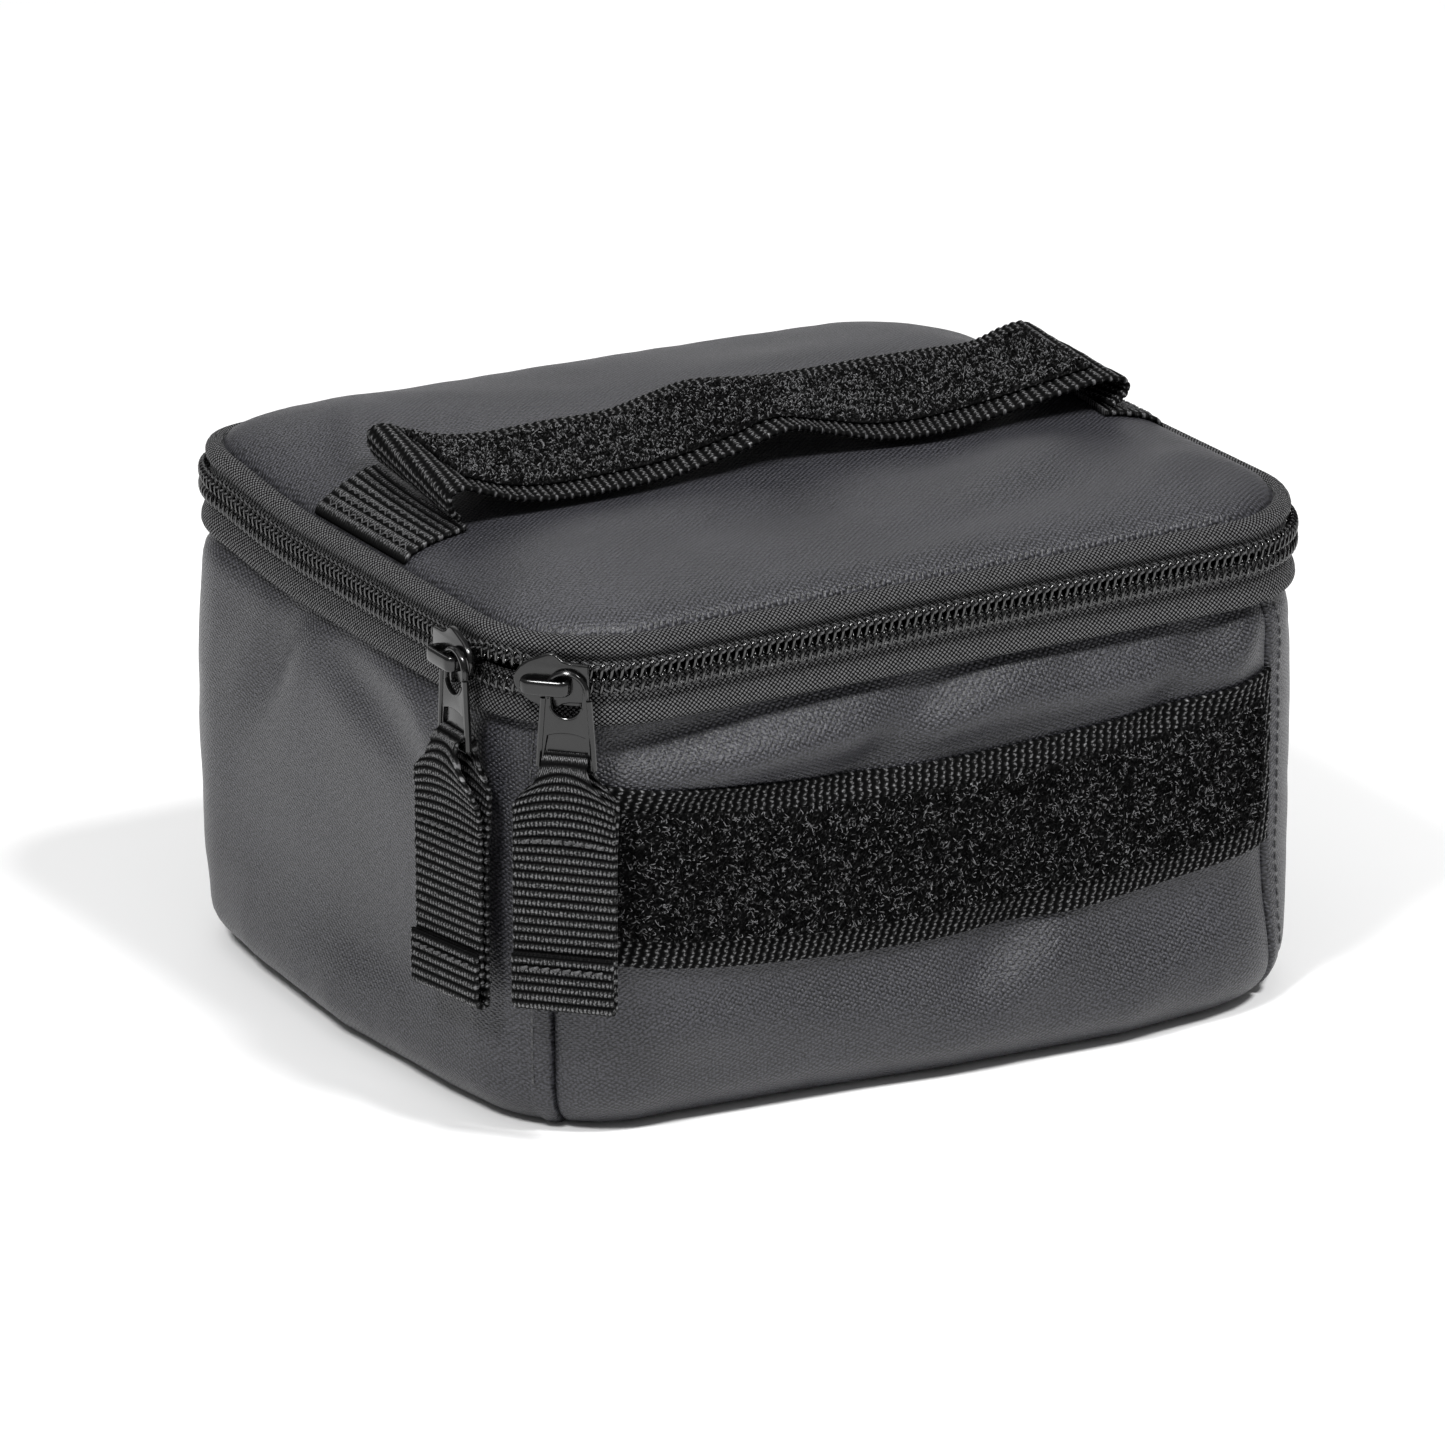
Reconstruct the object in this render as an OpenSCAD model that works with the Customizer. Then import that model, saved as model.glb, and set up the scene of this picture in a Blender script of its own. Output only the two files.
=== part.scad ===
// Small padded carry case with a zipped lid, webbing handle and two zipper pulls.
// Frame: X along the length, the front faces -Y, Z up, origin at the middle of the base.

/* [Case] */
// Length of the case over its end panels
case_w = 208; // [190:1:230]
// Depth of the case over its front and back panels
case_d = 180; // [165:1:195]
// Plan radius of the upright corners
corner_r = 30; // [28:1:34]
// Height of the walls up to the zipper
wall_h = 99; // [90:1:110]
// Radius of the lower edge all round
bottom_r = 11; // [9:0.5:12]
// Thickness of the coated outer fabric
shell_t = 1.2; // [0.8:0.1:1.4]
// How far round each corner the upright panel seams lie, from the front or back
seam_angle = 40; // [30:1:50]

/* [Padding] */
// Thickness of the wall foam
foam_t = 5; // [4:0.5:6]
// Thickness of the lining
lining_t = 0.8; // [0.5:0.1:1]
// Thickness of the stiffening board in the base
board_t = 1.5; // [1:0.1:2]
// Thickness of the base foam
base_foam_t = 4; // [3:0.5:5]

/* [Zipper] */
// Height of the split between the two coils
zip_z = 109; // [108:0.5:110]
// Clear gap between the two coils
coil_gap = 1.4; // [1.3:0.1:1.6]
// Height of one coil
coil_h = 2.9; // [2.5:0.1:3.2]
// How far the coils stand out from the tape
coil_out = 2.9; // [2.5:0.1:3]
// Thickness of the zipper tapes
tape_t = 1.2; // [0.8:0.1:1.3]
// How far the zipper runs round each back corner
zip_end_angle = 60; // [50:1:70]

/* [Lid] */
// Height of the seam between the zipper tape and the lid panel
lid_seam_z = 117; // [115:0.5:119]
// Distance of that seam inside the outer face of the walls
lid_seam_in = 4; // [3:0.5:6]
// Rise of the domed lid above its seam
dome_h = 14; // [10:0.5:16]
// Distance over which the dome rises from its edge
dome_run = 70; // [60:1:75]
// Exponent that sets how fast the dome rises near its edge
dome_power = 2.5; // [2:0.1:3]
// Thickness of the flat lining under the lid pad
lid_lining_t = 0.8; // [0.5:0.1:1]

/* [Webbing] */
// Width of the handle webbing
handle_w = 43; // [38:1:50]
// Thickness of the handle and front webbing
webbing_t = 1.4; // [1:0.1:1.6]
// Width of the loop strips sewn on the webbing
loop_w = 31; // [25:1:36]
// Thickness of the loop strips
loop_t = 1.3; // [1:0.1:1.6]
// Width of the front webbing
front_webbing_w = 42; // [38:1:50]
// Height of the middle of the front webbing
front_webbing_z = 57; // [50:1:62]
// Width of the webbing pull tabs
tab_w = 25; // [20:1:26]
// Height of the lower end of the pull tabs
tab_end_z = 32; // [28:1:40]

/* [Sliders] */
// Place of the left slider along the left side
left_slider_y = -58; // [-60:1:-50]
// Place of the right slider round the front left corner, from the front
right_slider_angle = 45; // [40:1:50]
// Length of a pull from the top of its eye to its end
pull_len = 23.5; // [20:0.5:28]

/* [Hidden] */
$fn = 64;

// Centres of the corner arcs
cx = case_w / 2 - corner_r;
cy = case_d / 2 - corner_r;
// Levels inside the case
board_z = shell_t;
base_foam_z = board_z + board_t;
floor_lining_z = base_foam_z + base_foam_t;
floor_z = floor_lining_z + lining_t;
padding_t = foam_t + lining_t;
rim_binding_t = 1;
foam_top_z = wall_h - rim_binding_t - 0.5;
// The underside panel lies inside the rounded lower edge and its hem
hem = 20;
// Zipper levels
lower_coil_z = zip_z - coil_gap / 2 - coil_h;
upper_coil_z = zip_z + coil_gap / 2;
lower_tape_top = zip_z - coil_gap / 2;
upper_tape_bottom = zip_z + coil_gap / 2;
hinge_gap = 0.4;
// Lid levels
lid_lining_top = lid_seam_z - 1.4;
// Slider levels, outward from the outer face of the walls
plate_n = 3.5;
plate_t = 1.6;
crown_n = 7;
crown_t = 1.4;
pull_n = 5.45;
pull_t = 1.2;
inner_plate_n = -3.2;
inner_plate_t = 1;
// The pull's eye, seen from outside, from the middle of the slider
eye_s = 3.9;
eye_z = -1.8;
eye_r = 4;
eye_rim = 1.3;
pull_end_z = eye_z + eye_r + eye_rim - pull_len;
pull_end_w = 13.6;
bar_h = 2.4;
bar_z = pull_end_z + bar_h / 2;
bar_n = pull_n + pull_t / 2;
slot_h = 4.1;
slot_w = 10.4;
tab_layer = 1;
tab_bore_r = 1.9;
tab_t = 3.4;
// The left tab hangs a little turned towards the front
left_tab_yaw = 14;

// ---- Sweeps round the case: profiles are drawn as [outward, up] from the walls' outer face ----

// Straight run on one side: 0 right, 1 back, 2 left, 3 front
module side_run(side, length) {
    rotate([0, 0, 90 * side])
        translate([side % 2 == 0 ? case_w / 2 : case_d / 2, 0, 0])
            rotate([90, 0, 0])
                linear_extrude(height = length, center = true) children();
}

// Run round a corner from its first side: 0 back right, 1 back left, 2 front left, 3 front right
module corner_start(corner, angle) {
    at_corner(corner)
        rotate([0, 0, 90 * corner])
            rotate_extrude(angle = angle) translate([corner_r, 0]) children();
}

// Run round a corner back from its second side
module corner_end(corner, angle) {
    at_corner(corner)
        rotate([0, 0, 90 * corner + 90])
            mirror([0, 1, 0])
                rotate_extrude(angle = angle) translate([corner_r, 0]) children();
}

module at_corner(corner) {
    translate([corner == 1 || corner == 2 ? -cx : cx, corner < 2 ? cy : -cy, 0]) children();
}

module front_run() {
    side_run(3, 2 * cx) children();
    corner_end(2, seam_angle) children();
    corner_start(3, seam_angle) children();
}

module back_run() {
    side_run(1, 2 * cx) children();
    corner_end(0, seam_angle) children();
    corner_start(1, seam_angle) children();
}

module left_run() {
    side_run(2, 2 * cy) children();
    corner_end(1, 90 - seam_angle) children();
    corner_start(2, 90 - seam_angle) children();
}

module right_run() {
    side_run(0, 2 * cy) children();
    corner_end(3, 90 - seam_angle) children();
    corner_start(0, 90 - seam_angle) children();
}

// The zipper's way: from one back corner round the right, front and left sides to the other
module zip_run() {
    for (side = [0, 2]) side_run(side, 2 * cy) children();
    side_run(3, 2 * cx) children();
    for (corner = [2, 3]) corner_start(corner, 90) children();
    corner_start(0, zip_end_angle) children();
    corner_end(1, zip_end_angle) children();
}

// The hinge's way: across the back between the zipper's ends
module hinge_run() {
    side_run(1, 2 * cx) children();
    corner_end(0, 90 - zip_end_angle) children();
    corner_start(1, 90 - zip_end_angle) children();
}

module full_run() {
    for (side = [0, 2]) side_run(side, 2 * cy) children();
    for (side = [1, 3]) side_run(side, 2 * cx) children();
    for (corner = [0:3]) corner_start(corner, 90) children();
}

// Rectangle in a profile, by its ranges outward and up
module band(n0, n1, z0, z1) {
    translate([n0, z0]) square([n1 - n0, z1 - z0]);
}

// Plate over the whole plan, inset from the outer face of the walls
module plan_plate(inset, z0, z1) {
    r = corner_r - inset;
    translate([0, 0, z0])
        linear_extrude(height = z1 - z0)
            union() {
                square([2 * cx, case_d - 2 * inset], center = true);
                square([case_w - 2 * inset, 2 * cy], center = true);
                for (x = [-cx, cx], y = [-cy, cy]) translate([x, y]) circle(r);
            }
}

// ---- Outer shell ----

// Wall with its rounded lower edge and the hem that turns under the base
module wall_profile() {
    band(-shell_t, 0, bottom_r, wall_h);
    band(-hem, -bottom_r, 0, shell_t);
    intersection() {
        translate([-bottom_r, bottom_r])
            difference() {
                circle(bottom_r);
                circle(bottom_r - shell_t);
            }
        band(-bottom_r, 0, 0, bottom_r);
    }
}

module front_panel() {
    color("#3c3c40") front_run() wall_profile();
}

module back_panel() {
    color("#3c3c40") back_run() wall_profile();
}

module left_end_panel() {
    color("#38383c") left_run() wall_profile();
}

module right_end_panel() {
    color("#38383c") right_run() wall_profile();
}

module base_panel() {
    color("#303033") plan_plate(hem, 0, shell_t);
}

// ---- Padding and lining ----

module foam_profile() {
    band(-shell_t - foam_t, -shell_t, bottom_r, foam_top_z);
}

module front_foam() {
    color("#8a8f98") front_run() foam_profile();
}

module back_foam() {
    color("#8a8f98") back_run() foam_profile();
}

module left_foam() {
    color("#7d828b") left_run() foam_profile();
}

module right_foam() {
    color("#7d828b") right_run() foam_profile();
}

module base_board() {
    color("#e8e8e4") plan_plate(bottom_r + 0.2, board_z, base_foam_z);
}

module base_foam() {
    color("#8a8f98") plan_plate(bottom_r - 3.5, base_foam_z, floor_lining_z);
}

module wall_lining() {
    color("#55585e") full_run()
        band(-shell_t - padding_t, -shell_t - foam_t, floor_z, foam_top_z);
}

module floor_lining() {
    color("#5c5f66") plan_plate(shell_t + foam_t, floor_lining_z, floor_z);
}

// Tape that closes the top of the foam and the lining
module rim_binding() {
    color("#202022") full_run()
        band(-shell_t - padding_t - 0.6, -shell_t, foam_top_z, foam_top_z + rim_binding_t);
}

// ---- Zipper and hinge ----

module lower_zipper_tape() {
    color("#1c1c1e") zip_run() band(-tape_t, 0, wall_h, lower_tape_top);
}

// One coil: round outside, flat where it is sewn to the tape
module coil_profile(z0) {
    intersection() {
        translate([coil_out - coil_h / 2, z0 + coil_h / 2]) circle(coil_h / 2);
        band(0, coil_out + 1, z0, z0 + coil_h);
    }
    band(0, coil_out - coil_h / 2, z0, z0 + coil_h);
}

module lower_zipper_coil() {
    color("#0f0f10") zip_run() coil_profile(lower_coil_z);
}

module upper_zipper_coil() {
    color("#0f0f10") zip_run() coil_profile(upper_coil_z);
}

// Fabric tabs that cover the zipper's two ends
module zipper_end_tabs() {
    tab_turn = 12;
    color("#2a2a2d")
        for (side = [-1, 1])
            translate([side * cx, cy, 0])
                rotate([0, 0, side > 0 ? zip_end_angle : 180 - zip_end_angle - tab_turn])
                    rotate_extrude(angle = tab_turn)
                        translate([corner_r, 0]) band(0, 0.8, wall_h - 8, zip_z - hinge_gap);
}

module hinge_tape_lower() {
    color("#1c1c1e") hinge_run() band(-tape_t, 0, wall_h, zip_z - hinge_gap);
}

// Upright tape that rolls inward to the seam with the lid panel
module rolled_tape_profile(z0) {
    roll_r = 3;
    band(-tape_t, 0, z0, lid_seam_z - roll_r + 1);
    intersection() {
        translate([-roll_r, lid_seam_z - roll_r + 1])
            difference() {
                circle(roll_r);
                circle(roll_r - tape_t);
            }
        band(-roll_r, 0, lid_seam_z - roll_r + 1, lid_seam_z + 1);
    }
    band(-lid_seam_in, -roll_r, lid_seam_z + 1 - tape_t, lid_seam_z + 1);
}

module upper_zipper_tape() {
    color("#1c1c1e") zip_run() rolled_tape_profile(upper_tape_bottom);
}

module hinge_tape_upper() {
    color("#1c1c1e") hinge_run() rolled_tape_profile(zip_z + hinge_gap);
}

// ---- Front webbing and stitching ----

module front_webbing() {
    color("#141415") front_run()
        band(0, webbing_t, front_webbing_z - front_webbing_w / 2,
             front_webbing_z + front_webbing_w / 2);
}

// The loop strip stops short of the right seam
module front_loop_strip() {
    left_end_angle = 28;
    right_end_angle = 18;
    color("#0b0b0c") {
        side_run(3, 2 * cx) loop_profile();
        corner_end(2, left_end_angle) loop_profile();
        corner_start(3, right_end_angle) loop_profile();
    }
}

module loop_profile() {
    band(webbing_t, webbing_t + loop_t, front_webbing_z - loop_w / 2, front_webbing_z + loop_w / 2);
}

// Rows of short stitches on the end panels, beside the four upright seams
module corner_topstitching() {
    pitch = 4;
    stitch_l = 2.8;
    stitch_w = 0.5;
    stitch_turn = seam_angle + 9;
    color("#0d0d0e")
        for (side_x = [-1, 1], side_y = [-1, 1], k = [0:20])
            translate([side_x * cx, side_y * cy, 0])
                rotate([0, 0, side_y > 0 ? side_x * -stitch_turn : side_x * stitch_turn])
                    translate([-stitch_w / 2, side_y > 0 ? corner_r : -corner_r - 0.35,
                               bottom_r + 3 + k * pitch])
                        cube([stitch_w, 0.35, stitch_l]);
}

// ---- Lid ----

// Height of the dome above its seam, by the distance in from its edge
function dome_rise(inset) = dome_h * (1 - pow(1 - min(inset, dome_run) / dome_run, dome_power));

// Convex dome solid, shrunk by t and cut off flat at its seam
module dome(t) {
    hull()
        for (k = [0:8]) {
            inset = dome_run * pow(k / 8, 1.6);
            translate([0, 0, lid_seam_z + dome_rise(inset) - t])
                linear_extrude(height = 0.01)
                    rounded_plan(lid_seam_in + inset + t);
        }
}

module rounded_plan(inset) {
    r = max(corner_r - inset, 9);
    translate([0, 0])
        hull()
            for (x = [-1, 1], y = [-1, 1])
                translate([x * (case_w / 2 - inset - r), y * (case_d / 2 - inset - r)])
                    circle(r, $fn = 32);
}

module lid_panel() {
    color("#3e3e42")
        difference() {
            dome(0);
            translate([0, 0, -0.02]) dome(shell_t);
            translate([0, 0, lid_seam_z - 5])
                cube([2 * case_w, 2 * case_d, 10], center = true);
        }
}

module lid_foam() {
    color("#8a8f98")
        translate([0, 0, -0.05]) dome(shell_t);
}

module lid_lining() {
    color("#55585e") plan_plate(tape_t + 0.4, lid_lining_top - lid_lining_t, lid_lining_top);
}

// ---- Handle ----

// Height of the lid's top on the handle's line
function lid_top(x) = lid_seam_z + dome_rise(case_w / 2 - lid_seam_in - abs(x));

// Outline of a strip of thickness t that follows points, starting lift above them
function strip_outline(points, lift, t) =
    let (
        n = len(points) - 1,
        normal = [for (i = [0:n])
            let (d = points[min(i + 1, n)] - points[max(i - 1, 0)]) [-d.y, d.x] / norm(d)]
    )
    concat(
        [for (i = [0:n]) points[i] + normal[i] * lift],
        [for (i = [n:-1:0]) points[i] + normal[i] * (lift + t)]
    );

// Strip across the lid: its outline is [x, z], its width lies along Y
module strip(outline, width) {
    rotate([90, 0, 0])
        linear_extrude(height = width, center = true) polygon(outline);
}

anchor_outer_x = case_w / 2 - lid_seam_in - 0.5;
anchor_inner_x = 81;

module handle_anchor(side) {
    steps = 6;
    line = [for (k = [0:steps])
        let (x = anchor_inner_x + (anchor_outer_x - anchor_inner_x) * (side > 0 ? k : steps - k) / steps)
        [side * x, lid_top(x)]];
    strip(strip_outline(line, 0.15, webbing_t), handle_w);
}

module handle_anchor_left() {
    color("#141415") handle_anchor(-1);
}

module handle_anchor_right() {
    color("#141415") handle_anchor(1);
}

// Middle line of the grip webbing: a fold up from each anchor, then a slack wave over the lid
grip_line = [
    [-80, 127.6], [-85, 129.2], [-88.5, 131.6], [-88.5, 134], [-84, 134.6], [-75, 133], [-65, 131.9],
    [-55, 131.9], [-42, 133.2], [-28, 134.7], [-16, 135], [0, 134.2], [20, 133.8], [40, 134.2],
    [60, 134.6], [76, 134.8], [87, 134.6], [90.5, 133], [89.5, 130.4], [84, 127.6]
];

module handle_grip() {
    color("#141415") strip(strip_outline(grip_line, -webbing_t / 2, webbing_t), handle_w);
}

module handle_loop_strip() {
    flat = [for (i = [4:16]) grip_line[i]];
    color("#0b0b0c") strip(strip_outline(flat, webbing_t / 2 + 0.05, loop_t), loop_w);
}

// ---- Sliders, pulls and tabs, drawn on the front face with the zipper's split at z = 0 ----

// Plate between two distances outward, from an outline drawn as seen from outside
module outward(n0, n1) {
    translate([0, -n0, 0])
        rotate([90, 0, 0])
            linear_extrude(height = n1 - n0) children();
}

module place_left() {
    translate([-case_w / 2, left_slider_y, zip_z]) rotate([0, 0, -90]) children();
}

module place_right() {
    translate([-cx, -cy, zip_z])
        rotate([0, 0, -right_slider_angle])
            translate([0, -corner_r, 0]) children();
}

// Slider with its leaf outline, pointed end towards the other slider
module slider(nose) {
    outline = [
        [-8.6, 0], [-8, 2.2], [-6.4, 3.9], [-3, 5.6], [0.5, 6.5], [4.2, 4.6], [8.6, 4.5],
        [8.6, -4.5], [4.2, -4.6], [0.5, -6.5], [-3, -5.6], [-6.4, -3.9], [-8, -2.2]
    ];
    outward(plate_n, plate_n + plate_t)
        polygon([for (p = outline) [nose * -p.x, p.y]]);
    outward(inner_plate_n, inner_plate_n + inner_plate_t)
        square([12, 8], center = true);
    outward(inner_plate_n, plate_n + 0.1)
        translate([nose * 3.5, 0]) square([3, 0.8], center = true);
    outward(0.5, plate_n + 0.1)
        translate([nose * -2, -5]) square([9, 1], center = true);
    for (foot = [[-6.8, 1.8], [3.2, 2]])
        outward(plate_n, crown_n + crown_t)
            translate([foot.x, -2.3]) square([foot.y, 3.4]);
    outward(crown_n, crown_n + crown_t)
        translate([-6.8, -2.3]) square([12, 3.4]);
}

module left_slider() {
    color("#1a1a1b") place_left() slider(1);
}

module right_slider() {
    color("#1a1a1b") place_right() slider(-1);
}

// Pull plate: a round eye over one foot of the crown, widening to a slot for the tab
module pull() {
    eye_out = eye_r + eye_rim;
    translate([eye_s, 0, 0])
        outward(pull_n, pull_n + pull_t)
            difference() {
                hull() {
                    translate([0, eye_z]) circle(eye_out, $fn = 32);
                    translate([-pull_end_w / 2, pull_end_z]) square([pull_end_w, bar_h]);
                }
                translate([0, eye_z]) circle(eye_r);
                translate([0, eye_z - 2.4]) circle(eye_r - 0.6);
                translate([-slot_w / 2, pull_end_z + bar_h]) square([slot_w, slot_h]);
            }
}

module left_pull() {
    color("#1f1f20") place_left() pull();
}

module right_pull() {
    color("#1f1f20") place_right() pull();
}

// Webbing tab: a loop round the pull's end bar, shoulders, then two leaves sewn flat
module tab(yaw) {
    loop_r = tab_bore_r + tab_layer;
    leaf_top = bar_z - loop_r + 0.6;
    leaf_end = tab_end_z - zip_z;
    shoulder = 8;
    translate([eye_s, -bar_n, bar_z])
        rotate([0, 90, 0])
            difference() {
                cylinder(r = loop_r, h = slot_w - 1, center = true);
                cylinder(r = tab_bore_r, h = slot_w + 1, center = true);
            }
    translate([eye_s, -bar_n, 0])
        rotate([0, 0, yaw])
            outward(-tab_t / 2, tab_t / 2)
                polygon([
                    [-slot_w / 2 + 1, leaf_top], [slot_w / 2 - 1, leaf_top],
                    [tab_w / 2, leaf_top - shoulder], [tab_w / 2, leaf_end],
                    [-tab_w / 2, leaf_end], [-tab_w / 2, leaf_top - shoulder]
                ]);
}

module left_strap() {
    color("#151516") place_left() tab(left_tab_yaw);
}

module right_strap() {
    color("#151516") place_right() tab(0);
}

front_panel();
back_panel();
left_end_panel();
right_end_panel();
base_panel();
front_foam();
back_foam();
left_foam();
right_foam();
base_board();
base_foam();
wall_lining();
floor_lining();
rim_binding();
lower_zipper_tape();
lower_zipper_coil();
zipper_end_tabs();
hinge_tape_lower();
front_webbing();
front_loop_strip();
corner_topstitching();
lid_panel();
lid_foam();
lid_lining();
upper_zipper_tape();
upper_zipper_coil();
hinge_tape_upper();
handle_anchor_left();
handle_anchor_right();
handle_grip();
handle_loop_strip();
left_slider();
right_slider();
left_pull();
right_pull();
left_strap();
right_strap();
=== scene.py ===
"""Looks of the padded carry case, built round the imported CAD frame.

Lengths are in millimetres until mesh_object() turns them into metres.
"""

import math

import bpy
import bmesh
import numpy as np
from mathutils import Matrix, Vector


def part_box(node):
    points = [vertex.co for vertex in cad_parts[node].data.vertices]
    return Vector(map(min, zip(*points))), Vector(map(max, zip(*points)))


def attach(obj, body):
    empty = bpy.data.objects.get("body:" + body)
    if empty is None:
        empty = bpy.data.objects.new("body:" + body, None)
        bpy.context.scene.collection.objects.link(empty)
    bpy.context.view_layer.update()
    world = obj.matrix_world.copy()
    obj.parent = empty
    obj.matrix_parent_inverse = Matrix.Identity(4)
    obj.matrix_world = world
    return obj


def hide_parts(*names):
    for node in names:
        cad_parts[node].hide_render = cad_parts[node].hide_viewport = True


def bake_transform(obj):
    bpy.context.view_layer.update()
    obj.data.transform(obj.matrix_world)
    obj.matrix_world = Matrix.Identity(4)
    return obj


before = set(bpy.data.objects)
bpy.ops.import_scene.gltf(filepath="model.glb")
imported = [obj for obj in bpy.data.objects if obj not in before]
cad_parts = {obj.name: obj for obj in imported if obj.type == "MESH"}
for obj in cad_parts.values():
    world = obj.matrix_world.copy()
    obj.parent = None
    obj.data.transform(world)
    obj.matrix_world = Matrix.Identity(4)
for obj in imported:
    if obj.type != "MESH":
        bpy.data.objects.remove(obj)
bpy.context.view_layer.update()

MM = 0.001
# Webbing: the pitch of its ribs, and of the beads of yarn along each rib
RIB = 2.1
BEAD = 0.95
rng = np.random.default_rng(8)


# ---- Sizes taken from the frame ----

def node_box(node):
    """Lowest and highest corner of a CAD node in millimetres."""
    low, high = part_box(node)
    return np.array(low) / MM, np.array(high) / MM


def node_size(node):
    """Width, depth and height of a CAD node in millimetres."""
    low, high = node_box(node)
    return high - low


HALF_W = -node_box("left_end_panel")[0][0]
HALF_D = -node_box("front_panel")[0][1]
WALL_TOP = node_box("front_panel")[1][2]
CHAIN_Z = (node_box("lower_zipper_coil")[1][2] + node_box("upper_zipper_coil")[0][2]) / 2
LID_SEAM_Z = node_box("lid_panel")[0][2]
FLOOR_Z = node_box("floor_lining")[1][2]
LINING_TOP = node_box("wall_lining")[1][2]
LID_LINING_Z = node_box("lid_lining")[0][2]
TAB_END_Z = node_box("right_strap")[0][2] - CHAIN_Z
WEBBING_W = node_size("front_webbing")[2]
HANDLE_W = node_size("handle_grip")[1]
LOOP_W = node_size("handle_loop_strip")[1]

# The walls: the plan's corners, the rounded lower edge, the hem under the base and the fabric's thickness
CORNER_R = 30.0
BOTTOM_R = 11.0
HEM_FLAT = 9.0
SHELL_T = 1.0
# The lid's seam lies this far inside the walls
LID_INSET = 2.9
CORNER_X = HALF_W - CORNER_R
CORNER_Y = HALF_D - CORNER_R
ARC = CORNER_R * math.pi / 2


# ---- The walls as a surface: s runs counter-clockwise from the middle of the front, v up from the hem ----

OUTLINE_S = np.cumsum([0, CORNER_X, ARC, 2 * CORNER_Y, ARC, 2 * CORNER_X, ARC, 2 * CORNER_Y, ARC, CORNER_X])
OUTLINE_TURN = np.radians([-90, -90, 0, 0, 90, 90, 180, 180, 270, 270])
OUTLINE_CX = np.array([0, 1, 1, 1, 1, -1, -1, -1, -1, 0]) * CORNER_X
OUTLINE_CY = np.array([-1, -1, -1, 1, 1, 1, 1, -1, -1, -1]) * CORNER_Y
PERIMETER = OUTLINE_S[-1]
RIGHT_FRONT, RIGHT_START, RIGHT_END, BACK_START, BACK_END, LEFT_START, LEFT_END = OUTLINE_S[1:8]

# The upright seams, each some degrees round its corner
SEAM_ANGLE = 40 / 90 * ARC
SEAM_FR = RIGHT_FRONT + 27 / 90 * ARC
SEAM_BR = BACK_START - SEAM_ANGLE
SEAM_BL = BACK_END + SEAM_ANGLE
SEAM_FL = LEFT_END + ARC - 48 / 90 * ARC
SEAMS = np.array([SEAM_FR, SEAM_BR, SEAM_BL, SEAM_FL])

# The zipper ends behind the back corners' middles; each slider has its place along it
ZIP_END = 60 / 90 * ARC
ZIP_START_S = LEFT_START - ZIP_END
ZIP_END_S = PERIMETER + RIGHT_END + ZIP_END
LEFT_SLIDER_Y = -58.0
LEFT_SLIDER_S = LEFT_START + CORNER_Y - LEFT_SLIDER_Y
RIGHT_SLIDER_S = LEFT_END + ARC / 2

# Lengths up the wall: to the top of its rounded lower edge, and to its upper seam
FOLD = BOTTOM_R * math.pi / 2
WALL_V = HEM_FLAT + FOLD
TOP_V = WALL_V + WALL_TOP - BOTTOM_R


def smoothstep(x):
    """0 below 0, 1 above 1, smooth between."""
    x = np.clip(x, 0, 1)
    return x * x * (3 - 2 * x)


def xyz(x, y, z):
    """Points from their three coordinates."""
    return np.stack(np.broadcast_arrays(x, y, z), -1)


def unit(vectors):
    """The vectors at length one."""
    return vectors / np.linalg.norm(vectors, axis=-1, keepdims=True)


def turns(count):
    """Equal steps round a circle, in radians."""
    return np.arange(count) * 2 * math.pi / count


def squarish(wave, power):
    """A sine or cosine pushed outward, which makes a circle a rounded rectangle."""
    return np.sign(wave) * np.abs(wave) ** power


def plan(s, out=0.0):
    """Place and outward direction on the walls' plan, moved outward."""
    s = np.mod(s, PERIMETER)
    turn = np.interp(s, OUTLINE_S, OUTLINE_TURN)
    reach = CORNER_R + out
    x = np.interp(s, OUTLINE_S, OUTLINE_CX) + reach * np.cos(turn)
    y = np.interp(s, OUTLINE_S, OUTLINE_CY) + reach * np.sin(turn)
    return x, y, np.cos(turn), np.sin(turn)


def wall_profile(v):
    """Distance outward and height on the wall's profile, and its outward normal."""
    turn = np.clip((v - HEM_FLAT) / BOTTOM_R, 0, math.pi / 2)
    out = -BOTTOM_R + BOTTOM_R * np.sin(turn) + np.minimum(v - HEM_FLAT, 0)
    z = BOTTOM_R - BOTTOM_R * np.cos(turn) + np.maximum(v - WALL_V, 0)
    return out, z, np.sin(turn), -np.cos(turn)


def v_at(z):
    """Place on the wall's profile at a height above the rounded lower edge."""
    return WALL_V + z - BOTTOM_R


def seam_distance(s):
    """Distance along the wall to the nearest upright seam."""
    gap = np.abs(np.mod(np.asarray(s)[..., None] - SEAMS + PERIMETER / 2, PERIMETER) - PERIMETER / 2)
    return gap.min(axis=-1)


def ring_gap(s, middle):
    """Signed distance along the outline from a place on it."""
    return np.mod(s - middle + PERIMETER / 2, PERIMETER) - PERIMETER / 2


def soft_dents(a, b, dents):
    """Sum of soft dents: each is (a, b, size along, size across, turn in degrees, depth)."""
    total = np.zeros(np.broadcast(a, b).shape)
    for at_a, at_b, size_a, size_b, degrees, depth in dents:
        c, s = math.cos(math.radians(degrees)), math.sin(math.radians(degrees))
        da, db = a - at_a, b - at_b
        total += depth * np.exp(-((da * c + db * s) / size_a) ** 2 - ((db * c - da * s) / size_b) ** 2)
    return total


# Folds across the front: height of each, its half width, and how far it stands out
FRONT_FOLDS = [(86, 5.0, 2.7), (76.5, 4, -1.9), (33, 5, -0.9), (20, 8, 1.0)]


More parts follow.
